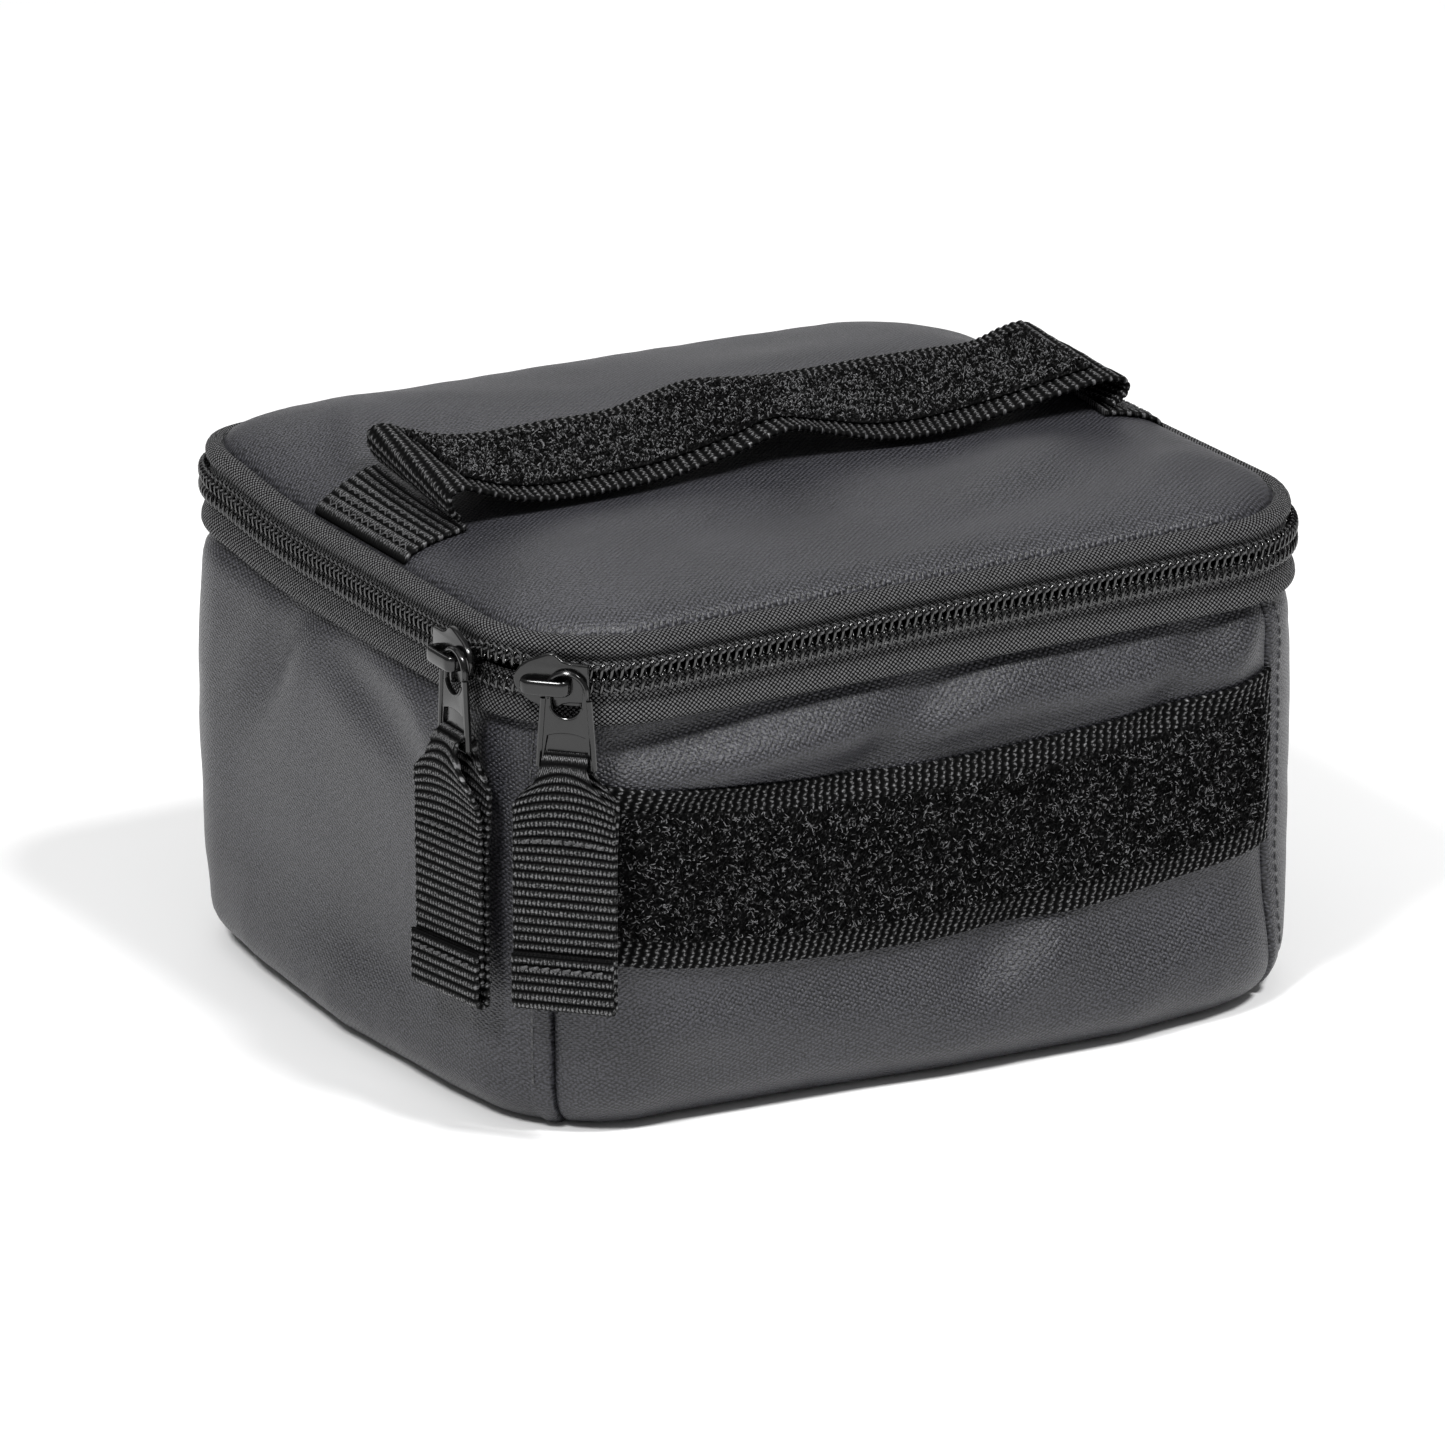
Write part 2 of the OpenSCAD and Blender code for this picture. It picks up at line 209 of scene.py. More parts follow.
def wall_bulge(s, v):
    """How far the padded walls stand out: fullest mid-side, held at the seams, the zipper and the base."""
    d = seam_distance(s)
    across = 0.45 * (1 - np.exp(-d / 4.5)) + 0.55 * (1 - np.exp(-(d / 26) ** 2))
    height = np.clip((v - WALL_V + 8) / (TOP_V - WALL_V + 8), 0, 1)
    full = 2.9 * across * (1 - np.abs(2 * height - 1) ** 3.5) * smoothstep((v - HEM_FLAT - 3) / 12)
    tuck = 2.3 * smoothstep((v - TOP_V + 8) / 8)
    z = v - WALL_V + BOTTOM_R
    folds = sum(rise * np.exp(-((z - middle) / half) ** 2) for middle, half, rise in FRONT_FOLDS)
    return full - tuck + folds * np.exp(-(ring_gap(s, 4) / 84) ** 6) * across


# ---- Cloth: the walls and the lid are relaxed as cloth under the padding's pressure ----

CLOTH = {"vertex_group_mass": "pinned", "quality": 5, "tension_stiffness": 25, "compression_stiffness": 25,
         "shear_stiffness": 15, "bending_stiffness": 6, "use_pressure": True}


def relax_cloth(points, faces, pinned, pressure, grow, frames=16):
    """Points after a short cloth simulation, in millimetres; pinned vertices stay."""
    mesh = bpy.data.meshes.new("cloth")
    mesh.from_pydata((points * MM).tolist(), [], faces.tolist())
    cloth = bpy.data.objects.new("cloth", mesh)
    bpy.context.scene.collection.objects.link(cloth)
    cloth.vertex_groups.new(name="pinned").add(np.flatnonzero(pinned).tolist(), 1.0, "REPLACE")
    modifier = cloth.modifiers.new("Cloth", "CLOTH")
    for setting, value in CLOTH.items():
        setattr(modifier.settings, setting, value)
    modifier.settings.uniform_pressure_force = pressure
    modifier.settings.shrink_min = -grow
    modifier.settings.effector_weights.gravity = 0
    modifier.collision_settings.use_collision = False
    modifier.point_cache.frame_end = frames
    for step in range(1, frames + 1):
        bpy.context.scene.frame_set(step)
    shown = cloth.evaluated_get(bpy.context.evaluated_depsgraph_get())
    moved = np.empty(len(points) * 3)
    shown.data.vertices.foreach_get("co", moved)
    bpy.data.objects.remove(cloth)
    bpy.data.meshes.remove(mesh)
    bpy.context.scene.frame_set(1)
    return moved.reshape(-1, 3) / MM


def cubic_weights(t):
    """Weights of the four neighbours for a smooth curve between the middle two."""
    return np.stack([
        -0.5 * t + t ** 2 - 0.5 * t ** 3,
        1 - 2.5 * t ** 2 + 1.5 * t ** 3,
        0.5 * t + 2 * t ** 2 - 1.5 * t ** 3,
        -0.5 * t ** 2 + 0.5 * t ** 3,
    ])


def sample_grid(grid, a, b, wrap_a):
    """Smooth value of a grid at fractional places a and b, the first direction closed if wrap_a."""
    a, b = np.broadcast_arrays(np.asarray(a, float), np.asarray(b, float))
    na, nb = grid.shape
    ia, ib = np.floor(a).astype(int), np.floor(b).astype(int)
    wa, wb = cubic_weights(a - ia), cubic_weights(b - ib)
    total = np.zeros(a.shape)
    for k in range(4):
        ka = ia + k - 1
        ka = np.mod(ka, na) if wrap_a else np.clip(ka, 0, na - 1)
        for m in range(4):
            total += wa[k] * wb[m] * grid[ka, np.clip(ib + m - 1, 0, nb - 1)]
    return total


def grid_faces(nu, nv, wrap_u=False, wrap_v=False):
    """Quads of a grid of points, as an array of four indices."""
    steps_u, steps_v = np.arange(nu if wrap_u else nu - 1), np.arange(nv if wrap_v else nv - 1)
    u, v = np.meshgrid(steps_u, steps_v, indexing="ij")
    u2, v2 = (u + 1) % nu, (v + 1) % nv
    return np.stack([u * nv + v, u2 * nv + v, u2 * nv + v2, u * nv + v2], -1).reshape(-1, 4)


def smooth(field, passes, closed=False):
    """The grid with its short waves taken out; closed joins the ends of its first direction."""
    for _ in range(passes):
        before, after = (field[-1:], field[:1]) if closed else (field[:1], field[-1:])
        rows = np.concatenate([before, field, after])
        columns = np.concatenate([field[:, :1], field, field[:, -1:]], 1)
        field = (2 * field + rows[2:] + rows[:-2] + columns[:, 2:] + columns[:, :-2]) / 6
    return field


WALL_STEP = 3.0
# Folds and dents of the walls: (place along, height, size along, size across, turn in degrees, depth)
WALL_DENTS = [(s, v_at(z), *shape) for s, z, *shape in [
    (-72, 93, 26, 5, 4, -3.2), (-50, 86, 28, 5, 8, 1.6), (-14, 85, 17, 6, 34, -2.6), (10, 89, 20, 5, 20, 1.4),
    (60, 84, 15, 5, 56, -1.6), (78, 88, 13, 5, 60, 1.4), (52, 22, 26, 8, 28, -1.0),
    (-66, 24, 14, 12, 30, 1.2), (-40, 20, 34, 10, -8, 0.5), (78, 22, 12, 12, 0, -0.5), (0, 14, 60, 5, 0, 0.5),
    (-150, 60, 34, 30, 0, 0.4), (-170, 85, 26, 6, -16, -2.0), (-215, 80, 18, 6, 56, -2.4),
    (-205, 50, 12, 24, 0, 0.4), (-160, 26, 40, 9, 8, -1.2), (-190, 36, 18, 12, 30, 0.6), (-198, 87, 17, 5, 48, 1.4),
    (-142, 86, 18, 6, -30, 1.1), (165, 70, 22, 12, 30, 0.7), (185, 40, 30, 9, -20, -0.7),
    (140, 52, 14, 22, 0, -0.5), (300, 74, 34, 9, 12, 0.7), (345, 40, 30, 12, -18, -0.8),
    (-320, 62, 26, 12, 20, 0.7), (-300, 30, 30, 9, -10, -0.6), (-255, 58, 22, 44, 0, 2.2),
    (10, 27, 18, 8, 44, -2.2), (26, 27, 22, 8, 40, 1.7),
]]
# Points of the walls' grid, round the case and up it
WALL_NS = int(PERIMETER / WALL_STEP)
WALL_NV = int(TOP_V / WALL_STEP) + 1


def wall_field():
    """Displacement of the walls along their normal, on a grid over s and v."""
    around, up = np.arange(WALL_NS) * PERIMETER / WALL_NS, np.linspace(0, TOP_V, WALL_NV)
    s, v = np.meshgrid(around, up, indexing="ij")
    rest = wall_bulge(s, v)
    fade = smoothstep((v - WALL_V) / 14) * smoothstep((TOP_V - v) / 5)
    rough = soft_dents(ring_gap(s, 0), v, WALL_DENTS) * fade
    out, z, n_out, n_up = wall_profile(v)
    x, y, nx, ny = plan(s, out)
    normal = xyz(nx * n_out, ny * n_out, n_up)
    points = xyz(x, y, z)
    start = points + normal * (0.5 * rest + rough)[..., None]
    pinned = (seam_distance(s) < WALL_STEP * 0.5) | (v > TOP_V - 1.5 * WALL_STEP) | (v < HEM_FLAT + 5)
    faces = grid_faces(WALL_NS, WALL_NV, wrap_u=True)
    moved = relax_cloth(start.reshape(-1, 3), faces, pinned.ravel(), pressure=4.0, grow=0.012)
    swell = ((moved.reshape(points.shape) - points) * normal).sum(-1)
    wrinkle = smooth(swell - smooth(swell, 6, closed=True), 1, closed=True)
    wrinkle = np.clip(0.35 * wrinkle, -0.4, 0.4) * smoothstep((v - HEM_FLAT - 4) / 8)
    return rest + rough + wrinkle


WALL_FIELD = wall_field()


# Places along the outline, and how far the soft base stands out there
BASE_FLARE = [(0, 7.0), (45, 9.5), (70, 7.0), (92, 2.0), (110, -0.6), (180, 3.0), (262, 0.0), (360, 4.0),
              (440, 0.5), (470, 1.0), (500, 4.8), (545, 7.2), (590, 4.0), (627, -1.0), (655, -0.5),
              (690, 2.5), (PERIMETER, 7.0)]


def base_flare(s):
    """How far the soft base stands out round the case; the front left corner is drawn in."""
    return np.interp(np.mod(s, PERIMETER), *zip(*BASE_FLARE))


def body(s, v, lift=0.0):
    """Point on the padded walls, lifted off them along their normal."""
    out, z, n_out, n_up = wall_profile(v)
    out = out + base_flare(s) * smoothstep((38 - z) / 32) * smoothstep(v / HEM_FLAT)
    at_s, at_v = np.mod(s, PERIMETER) / PERIMETER * WALL_NS, v / TOP_V * (WALL_NV - 1)
    rise = sample_grid(WALL_FIELD, at_s, at_v, True) + lift
    x, y, nx, ny = plan(s, out)
    z = np.maximum(z + wall_sway(s, z) + n_up * rise, 0)
    return xyz(x + nx * n_out * rise, y + ny * n_out * rise, z)


def rim_sway(s):
    """How far the zipper and the lid's rim wander up and down round the case."""
    back_left = np.exp(-(ring_gap(s, BACK_END + ARC / 2 + 14) / 28) ** 2)
    back_right = np.exp(-(ring_gap(s, RIGHT_END + ARC / 2) / 40) ** 2)
    return 3.8 * back_left - 2.2 * back_right


def wall_sway(s, z):
    """The rim's wander as it fades out down the walls."""
    return rim_sway(s) * smoothstep((z - 40) / (WALL_TOP - 40))


def rim(s, out, z):
    """Point beside the zipper, by its distance outward and its height."""
    x, y, _, _ = plan(s, out)
    return xyz(x, y, z + rim_sway(s))


def inside(s, out, z):
    """Point round the inside of the case: only its top follows the rim."""
    x, y, _, _ = plan(s, out)
    return xyz(x, y, z + wall_sway(s, z))


# ---- Meshes ----

def set_uv(mesh, uv):
    """Writes one uv pair per point into the mesh's layer for woven patterns."""
    layer = mesh.uv_layers.get("weave") or mesh.uv_layers.new(name="weave")
    corners = np.empty(len(mesh.loops), int)
    mesh.loops.foreach_get("vertex_index", corners)
    layer.data.foreach_set("uv", np.asarray(uv).reshape(-1, 2)[corners].ravel())


def mesh_object(name, points, faces, uv=None, sharp=None):
    """Blender object from points in millimetres; uv is one pair per point, sharp an angle in degrees."""
    mesh = bpy.data.meshes.new(name)
    mesh.from_pydata((np.asarray(points).reshape(-1, 3) * MM).tolist(), [], faces)
    if uv is not None:
        set_uv(mesh, uv)
    mesh.shade_smooth()
    if sharp:
        mesh.set_sharp_from_angle(angle=math.radians(sharp))
    obj = bpy.data.objects.new(name, mesh)
    bpy.context.scene.collection.objects.link(obj)
    return obj


def outward_faces(points, faces):
    """The faces, turned round if they enclose a negative volume."""
    p = np.asarray(points).reshape(-1, 3)
    f = np.asarray(faces)
    origin = p.mean(0)
    a, b, c, d = (p[f[:, k]] - origin for k in range(4))
    volume = (np.cross(a, b) * c).sum() + (np.cross(a, c) * d).sum()
    return (f[:, ::-1] if volume < 0 else f).tolist()


def skin_faces(nu, nv, wrap=False):
    """Quads of a closed skin over nu loops of nv points each, with its two ends closed unless wrap."""
    faces = [grid_faces(nu, nv, wrap_u=wrap, wrap_v=True)]
    if not wrap:
        i = np.arange(nv // 2 - 1)
        cap = np.stack([i, i + 1, nv - 2 - i, nv - 1 - i], -1)
        faces += [cap, cap[:, ::-1] + (nu - 1) * nv]
    return np.concatenate(faces)


def repeat_faces(one, count, points_each):
    """The faces of one small part, repeated for a row of equal parts."""
    return (one[None] + (np.arange(count) * points_each)[:, None, None]).reshape(-1, one.shape[1])


def skin(name, loops, wrap=False, uv=None, sharp=None):
    """Object whose cross-sections are the given closed loops."""
    faces = outward_faces(loops, skin_faces(*loops.shape[:2], wrap))
    return mesh_object(name, loops, faces, uv, sharp)


def two_sided(name, front, back, uv=None, wrap=False, sharp=None):
    """Closed sheet between two grids of points that share their uv."""
    def fold(one, other):
        return None if one is None else np.concatenate([one, other[:, ::-1]], 1)

    return skin(name, fold(front, back), wrap, fold(uv, uv), sharp)


def slab(name, top, bottom, uv=None):
    """Closed sheet between two square grids of points that share their uv."""
    n = top.shape[0]
    place = np.arange(n * n).reshape(n, n)
    edge = np.concatenate([place[0, :-1], place[:-1, -1], place[-1, :0:-1], place[:0:-1, 0]])
    turned = np.roll(edge, -1)
    side = np.stack([edge, edge + n * n, turned + n * n, turned], -1)
    faces = grid_faces(n, n)
    faces = np.concatenate([faces, faces[:, ::-1] + n * n, side])
    uv = None if uv is None else np.concatenate([uv, uv])
    obj = mesh_object(name, np.concatenate([top, bottom]), faces.tolist(), uv)
    work = bmesh.new()
    work.from_mesh(obj.data)
    bmesh.ops.recalc_face_normals(work, faces=work.faces)
    work.to_mesh(obj.data)
    work.free()
    return obj


def join_parts(name, parts, sharp=35):
    """One object from several (points, faces) parts."""
    points, faces, start = [], [], 0
    for part_points, part_faces in parts:
        points.append(np.asarray(part_points).reshape(-1, 3))
        faces += [[start + i for i in face] for face in part_faces]
        start += len(points[-1])
    return mesh_object(name, np.concatenate(points), faces, sharp=sharp)


def ribbon(name, place, along, across, thick, relief, edge_r=0.6, slant=0.0):
    """Strip at place(along, across, lift); relief(along, across) gives its ribs, which may slant."""
    a, w = np.meshgrid(along, across, indexing="ij")
    woven = a + slant * w
    from_edge = np.clip((np.abs(across).max() - np.abs(w)) / edge_r, 0, 1)
    round_edge = np.maximum(np.sqrt(1 - (1 - from_edge) ** 2), 0.3)
    lift = (thick / 2 + relief(woven, w)) * round_edge
    return two_sided(name, place(a, w, lift), place(a, w, -lift), np.stack([woven, w], -1))


def threads(name, rows, radius, arch):
    """Stitches in rows of (starts, ends, outward): a thin arched tube from each start to its end."""
    starts, ends, normals = (np.concatenate([np.broadcast_to(row[k], row[0].shape) for row in rows])
                             for k in range(3))
    t = np.array([0, 0.12, 0.5, 0.88, 1])
    thin = np.array([0.4, 0.9, 1, 0.9, 0.4]) * radius
    turn = turns(6)
    aside = np.cross(unit(ends - starts), normals)
    middle = starts[:, None] + (ends - starts)[:, None] * t[:, None]
    middle = middle + normals[:, None] * (arch * np.sin(math.pi * t))[:, None]
    ring = normals[:, None, None] * np.cos(turn)[:, None] + aside[:, None, None] * np.sin(turn)[:, None]
    points = middle[:, :, None] + ring * thin[:, None, None]
    one = np.array(outward_faces(points[0], skin_faces(len(t), len(turn))))
    return mesh_object(name, points, repeat_faces(one, len(starts), len(t) * len(turn)).tolist())


def line_normals(line):
    """Left normals along a line of points."""
    slope = unit(np.gradient(line, axis=0))
    return np.stack([-slope[:, 1], slope[:, 0]], -1)


def line_path(points):
    """Function giving the point and the left normal at a length along a smooth line through points."""
    p = np.array(points, float)
    p = np.vstack([2 * p[0] - p[1], p, 2 * p[-1] - p[-2]])
    w = cubic_weights(np.linspace(0, 1, 24, endpoint=False))
    spans = [sum(w[k][:, None] * p[i + k] for k in range(4)) for i in range(len(p) - 3)]
    fine = np.vstack(spans + [p[-2:-1]])
    length = np.concatenate([[0], np.cumsum(np.linalg.norm(np.diff(fine, axis=0), axis=1))])
    slope = unit(np.gradient(fine, length, axis=0))

    def at(l):
        l = np.clip(l, 0, length[-1])
        x, z, slope_x, slope_z = (np.interp(l, length, line[:, k]) for line in (fine, slope) for k in (0, 1))
        return (x, z), (-slope_z, slope_x)

    return at, length[-1]


def rib_relief(depth=0.55):
    """Relief of ribbed webbing: ridges across the strip, each a row of small beads."""
    def relief(along, across):
        ridge = np.abs(np.sin(math.pi * along / RIB)) ** 0.8
        row = np.floor(along / RIB) % 2
        beads = np.abs(np.sin(math.pi * (across / BEAD + 0.5 * row))) ** 0.6
        return depth * ridge * (0.55 + 0.45 * beads) - depth * 0.5
    return relief


# ---- Materials ----

class Finish:
    """Small builder for one procedural material, whose patterns lie in its own coordinates."""

    def __init__(self, name, source="object"):
        self.material = bpy.data.materials.new(name)
        self.material.use_nodes = True
        self.tree = self.material.node_tree
        self.tree.nodes.clear()
        output = self.tree.nodes.new("ShaderNodeOutputMaterial")
        self.shader = self.tree.nodes.new("ShaderNodeBsdfPrincipled")
        self.tree.links.new(self.shader.outputs[0], output.inputs[0])
        self.place = self.coordinates(source)

    def coordinates(self, source):
        """Place in millimetres: "weave" from the strip's own length and width, or "object"."""
        if source == "weave":
            made = self.tree.nodes.new("ShaderNodeUVMap")
            made.uv_map = "weave"
            return made.outputs[0]
        made = self.tree.nodes.new("ShaderNodeTexCoord")
        scaled = self.tree.nodes.new("ShaderNodeVectorMath")
        scaled.operation = "SCALE"
        scaled.inputs["Scale"].default_value = 1 / MM
        self.tree.links.new(made.outputs["Object"], scaled.inputs[0])
        return scaled.outputs[0]

    def node(self, kind, **links):
        """New node, its sockets given by name or as _0, _1, _2; a socket is linked, a number is set."""
        made = self.tree.nodes.new(kind)
        for socket, value in links.items():
            key = int(socket[1:]) if socket[1:].isdigit() else socket.replace("_", " ")
            if isinstance(value, bpy.types.NodeSocket):
                self.tree.links.new(value, made.inputs[key])
            else:
                made.inputs[key].default_value = value
        return made

    def math(self, operation, *values):
        """Result of a Math node."""
        made = self.node("ShaderNodeMath", **{f"_{k}": value for k, value in enumerate(values)})
        made.operation = operation
        return made.outputs[0]

    def plus(self, a, b):
        return self.math("ADD", a, b)

    def times(self, a, b):
        return self.math("MULTIPLY", a, b)

    def faded(self, a, share):
        """The value with its distance from 1 multiplied by a share."""
        return self.math("MULTIPLY_ADD", a, share, 1 - share)

    def split(self, place):
        """The three coordinates of a place."""
        return self.node("ShaderNodeSeparateXYZ", _0=place).outputs

    def wave(self, turn, pitch):
        """Sine of a straight wave across the surface, from 0 to 1."""
        along, across, _ = self.split(self.place)
        c, s = math.cos(math.radians(turn)), math.sin(math.radians(turn))
        turn_along, turn_across = 2 * math.pi * c / pitch, 2 * math.pi * s / pitch
        phase = self.plus(self.times(along, turn_along), self.times(across, turn_across))
        return self.faded(self.math("SINE", phase), 0.5)

    def noise(self, size, detail=2.0):
        return self.node("ShaderNodeTexNoise", Vector=self.place, Scale=1 / size, Detail=detail).outputs[0]

    def drive(self, socket, factor, low, high):
        """Spreads a factor over a socket of the shader, from low to high."""
        made = self.node("ShaderNodeMapRange", Value=factor, To_Min=low, To_Max=high)
        self.tree.links.new(made.outputs[0], self.shader.inputs[socket])

    def colour(self, factor, dark, light):
        ramp = self.node("ShaderNodeValToRGB", _0=factor)
        for stop, position, colour in zip(ramp.color_ramp.elements, (0.3, 0.7), (dark, light)):
            stop.position = position
            stop.color = (*colour, 1)
        self.tree.links.new(ramp.outputs[0], self.shader.inputs["Base Color"])

    def painted_glints(self, factor, dark, light, roughness, gloss):
        """Black yarn with painted glints: the factor paints a lighter colour on its bright spots, which are also
        smoother and glossier.
        """
        self.colour(factor, grey(dark), grey(light))
        self.drive("Roughness", factor, *roughness)
        self.drive("Specular IOR Level", factor, *gloss)

    def bump(self, height, distance, strength=1.0):
        """Adds relief of a depth in millimetres."""
        made = self.node("ShaderNodeBump", Height=height, Distance=distance * MM, Strength=strength)
        socket = self.shader.inputs["Normal"]
        if socket.is_linked:
            self.tree.links.new(socket.links[0].from_socket, made.inputs["Normal"])
        self.tree.links.new(made.outputs[0], socket)

    def set(self, **values):
        for socket, value in values.items():
            self.shader.inputs[socket.replace("_", " ")].default_value = value


def grey(level, blue=1.03):
    """Grey, by default with a trace of blue."""
    return (level, level, level * blue)


def coated_twill():
    """Charcoal coated fabric with a fine slanting twill under its satin coat."""
    f = Finish("coated_twill", "weave")
    weave = f.times(f.wave(64, 0.86), f.wave(-52, 0.92))
    cloud = f.noise(30)
    grain = f.noise(0.6, 3)
    tone = f.plus(f.times(cloud, 0.20), f.plus(f.faded(grain, 1.5), f.times(weave, 0.46)))
    f.colour(tone, (0.003, 0.003, 0.004), (0.052, 0.052, 0.062))
    f.drive("Roughness", f.plus(f.times(cloud, 0.5), f.times(weave, 0.7)), 0.30, 0.50)
    f.bump(weave, 0.17, 0.9)
    f.bump(grain, 0.32, 0.9)
    f.set(Specular_IOR_Level=0.48, Sheen_Weight=0.02)
    return f.material


def webbing_finish(name, fine, zigzag):
    """Black nylon webbing: painted highlights on the beads of yarn along each rib, and painted shade that keeps the
    gaps between ribs black.
    """
    f = Finish(name, "weave")
    along, across, _ = f.split(f.place)
    wander = f.times(f.math("SINE", f.times(across, math.pi / BEAD)), zigzag)
    ridge = f.math("ABSOLUTE", f.math("SINE", f.times(f.plus(along, wander), math.pi / RIB)))
    row = f.math("MODULO", f.math("FLOOR", f.math("DIVIDE", along, RIB)), 2.0)
    beads = f.plus(f.math("DIVIDE", across, BEAD), f.times(row, 0.5))
    beads = f.math("ABSOLUTE", f.math("SINE", f.times(beads, math.pi)))
    # The crown factor is painted light: lighter colour as glints on the rib crowns and beads, painted shade in the
    # grooves between ribs.
    crown = f.times(f.math("POWER", ridge, fine), f.faded(beads, 0.90))
    fibre = f.noise(0.42, 3)
    crown = f.times(crown, f.times(f.math("POWER", fibre, 3.0), 5.6))
    f.painted_glints(crown, 0.003, 0.100, roughness=(0.72, 0.38), gloss=(0.02, 0.9))
    f.bump(fibre, 0.12, 0.8)
    return f.material


def tape_finish():
    """Knitted zipper tape of black yarn, with painted highlights on its small loops in staggered rows."""
    f = Finish("zipper_tape", "weave")
    knit_glint = f.math("POWER", f.times(f.wave(48, 0.78), f.wave(-48, 0.78)), 0.8)
    knit_glint = f.times(knit_glint, f.times(f.math("POWER", f.noise(0.25, 3), 2.0), 6.5))
    # The knit pattern also paints glints: lighter colour on the loops, which are glossier there too.
    f.painted_glints(knit_glint, 0.002, 0.170, roughness=(0.8, 0.45), gloss=(0.02, 0.6))
    f.bump(knit_glint, 0.25, 0.9)
    return f.material


def plain_finish(name, tint, roughness, relief, **settings):
    """Material of noise alone: layers of (size, detail, low, high); relief ends in depth and strength."""
    f = Finish(name)
    size, detail, dark, light = tint
    f.colour(f.noise(size, detail), dark, light)
    size, detail, low, high = roughness
    f.drive("Roughness", f.noise(size, detail), low, high)
    size, detail, depth, strength = relief
    f.bump(f.noise(size, detail), depth, strength)
    f.set(**settings)
    return f.material


def pile_finish():
    """Napped loop pile: black, with painted glints on loops here and there."""
    f = Finish("loop_pile")
    glint_share = f.split(f.coordinates("weave"))[0]
    clump = f.noise(2.4, 3)
    fibre = f.noise(0.3, 2)
    # Painted glints: loops and points with a high random share get a lighter colour.
    painted_glint = f.times(f.math("POWER", glint_share, 3.0), f.times(clump, 1.9))
    f.painted_glints(painted_glint, 0.002, 0.210, roughness=(0.85, 0.40), gloss=(0.01, 0.6))
    f.bump(fibre, 0.25, 0.9)
    return f.material


def plain_weave(name, dark, light, pitch, source="object"):
    """Plain woven cloth such as lining and binding."""
    f = Finish(name, source)
    weave = f.times(f.wave(0, pitch), f.wave(90, pitch))
    f.colour(f.times(f.plus(weave, f.noise(5, 3)), 0.6), grey(dark), grey(light))
    f.drive("Roughness", weave, 0.55, 0.8)
    f.bump(weave, 0.1, 0.7)
    f.set(Specular_IOR_Level=0.35, Sheen_Weight=0.2)
    return f.material


def foam_finish():
    """Closed-cell foam."""
    f = Finish("foam")
    cell = f.node("ShaderNodeTexVoronoi", Vector=f.place, Scale=2.2).outputs[0]
    f.colour(f.plus(cell, f.noise(8)), grey(0.22), grey(0.30))
    f.drive("Roughness", cell, 0.75, 0.95)
    f.bump(cell, 0.12, 0.7)
    return f.material


TWILL = coated_twill()
WEBBING = webbing_finish("webbing", 2.2, 0.0)
FINE_WEBBING = webbing_finish("fine_webbing", 5.0, 0.24)
TAPE = tape_finish()
# Black nylon monofilament
COIL = plain_finish("coil", (3, 2, grey(0.002), grey(0.004)), (1.2, 2, 0.10, 0.17), (0.6, 2, 0.01, 0.3),
                    Specular_IOR_Level=0.85)
# Twisted polyester thread
THREAD = plain_finish("thread", (0.35, 3, grey(0.006), grey(0.110)), (0.4, 2, 0.45, 0.7),
                      (0.18, 3, 0.08, 0.8), Specular_IOR_Level=0.4, Sheen_Weight=0.02)
PILE = pile_finish()
# Satin black enamel on die-cast metal
METAL = plain_finish("black_metal", (4, 2, grey(0.002), grey(0.005)), (0.7, 4, 0.13, 0.22),
                     (0.5, 3, 0.02, 0.5), Specular_IOR_Level=0.55)
LINING = plain_weave("lining", 0.055, 0.10, 1.1, "weave")
FLAT_LINING = plain_weave("flat_lining", 0.055, 0.10, 1.1)
BINDING = plain_weave("binding", 0.012, 0.03, 1.0)
FOAM = foam_finish()
# Pale polyethylene board
BOARD = plain_finish("board", (18, 2, grey(0.60, 0.96), grey(0.70, 0.97)), (2, 2, 0.4, 0.6),
                     (1.0, 3, 0.05, 0.5))


def dress(obj, material, rides, slot, *replaced):
    """Gives a piece its material, the body it rides on and the CAD nodes it stands for; its slot is not used."""
    obj.data.materials.clear()
    obj.data.materials.append(material)
    if rides:
        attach(obj, rides)
    if replaced:
        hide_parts(*replaced)
    return obj


# ---- Walls ----

def panel_lift(s, s0, s1, raised):
    """The panel's edges roll in to the seams; an end panel stands a little prouder beside them."""
    d = np.minimum(s - s0, s1 - s)
    roll = 1 - np.clip(d / 1.8, 0, 1)
    ridge = 0.55 * raised * smoothstep(d / 0.8) * smoothstep((5.6 - d) / 1.6)
    return -1.7 * (1 - np.sqrt(1 - roll ** 2)) + ridge


def panel(name, s0, s1, raised):
    """One wall's fabric from seam to seam, with close points at its rolled edges."""
    near = np.array([0, 0.12, 0.35, 0.7, 1.1, 1.6, 2.2, 3, 4, 4.8, 5.6, 6.4])
    middle = np.linspace(s0 + 8, s1 - 8, int((s1 - s0 - 16) / 2.0))
    s = np.concatenate([s0 + near, middle, s1 - near[::-1]])
    s, v = np.meshgrid(s, np.linspace(0, TOP_V, 58), indexing="ij")
    lift = panel_lift(s, s0, s1, raised)
    outer, inner = body(s, v, lift), body(s, v, lift - SHELL_T)
    obj = two_sided(name + "_fabric", outer, inner, np.stack([s, v], -1), sharp=60)
    dress(obj, TWILL, "case", "coated_fabric", name)


# Fabric and foam of each wall, the seams it runs between, and whether its edges stand proud
WALLS = [("front_panel", "front_foam", SEAM_FL - PERIMETER, SEAM_FR, 0),
         ("right_end_panel", "right_foam", SEAM_FR, SEAM_BR, 1),
         ("back_panel", "back_foam", SEAM_BR, SEAM_BL, 0),
         ("left_end_panel", "left_foam", SEAM_BL, SEAM_FL, 1)]

for fabric_node, _, wall_start, wall_end, proud in WALLS:
    panel(fabric_node, wall_start, wall_end, proud)


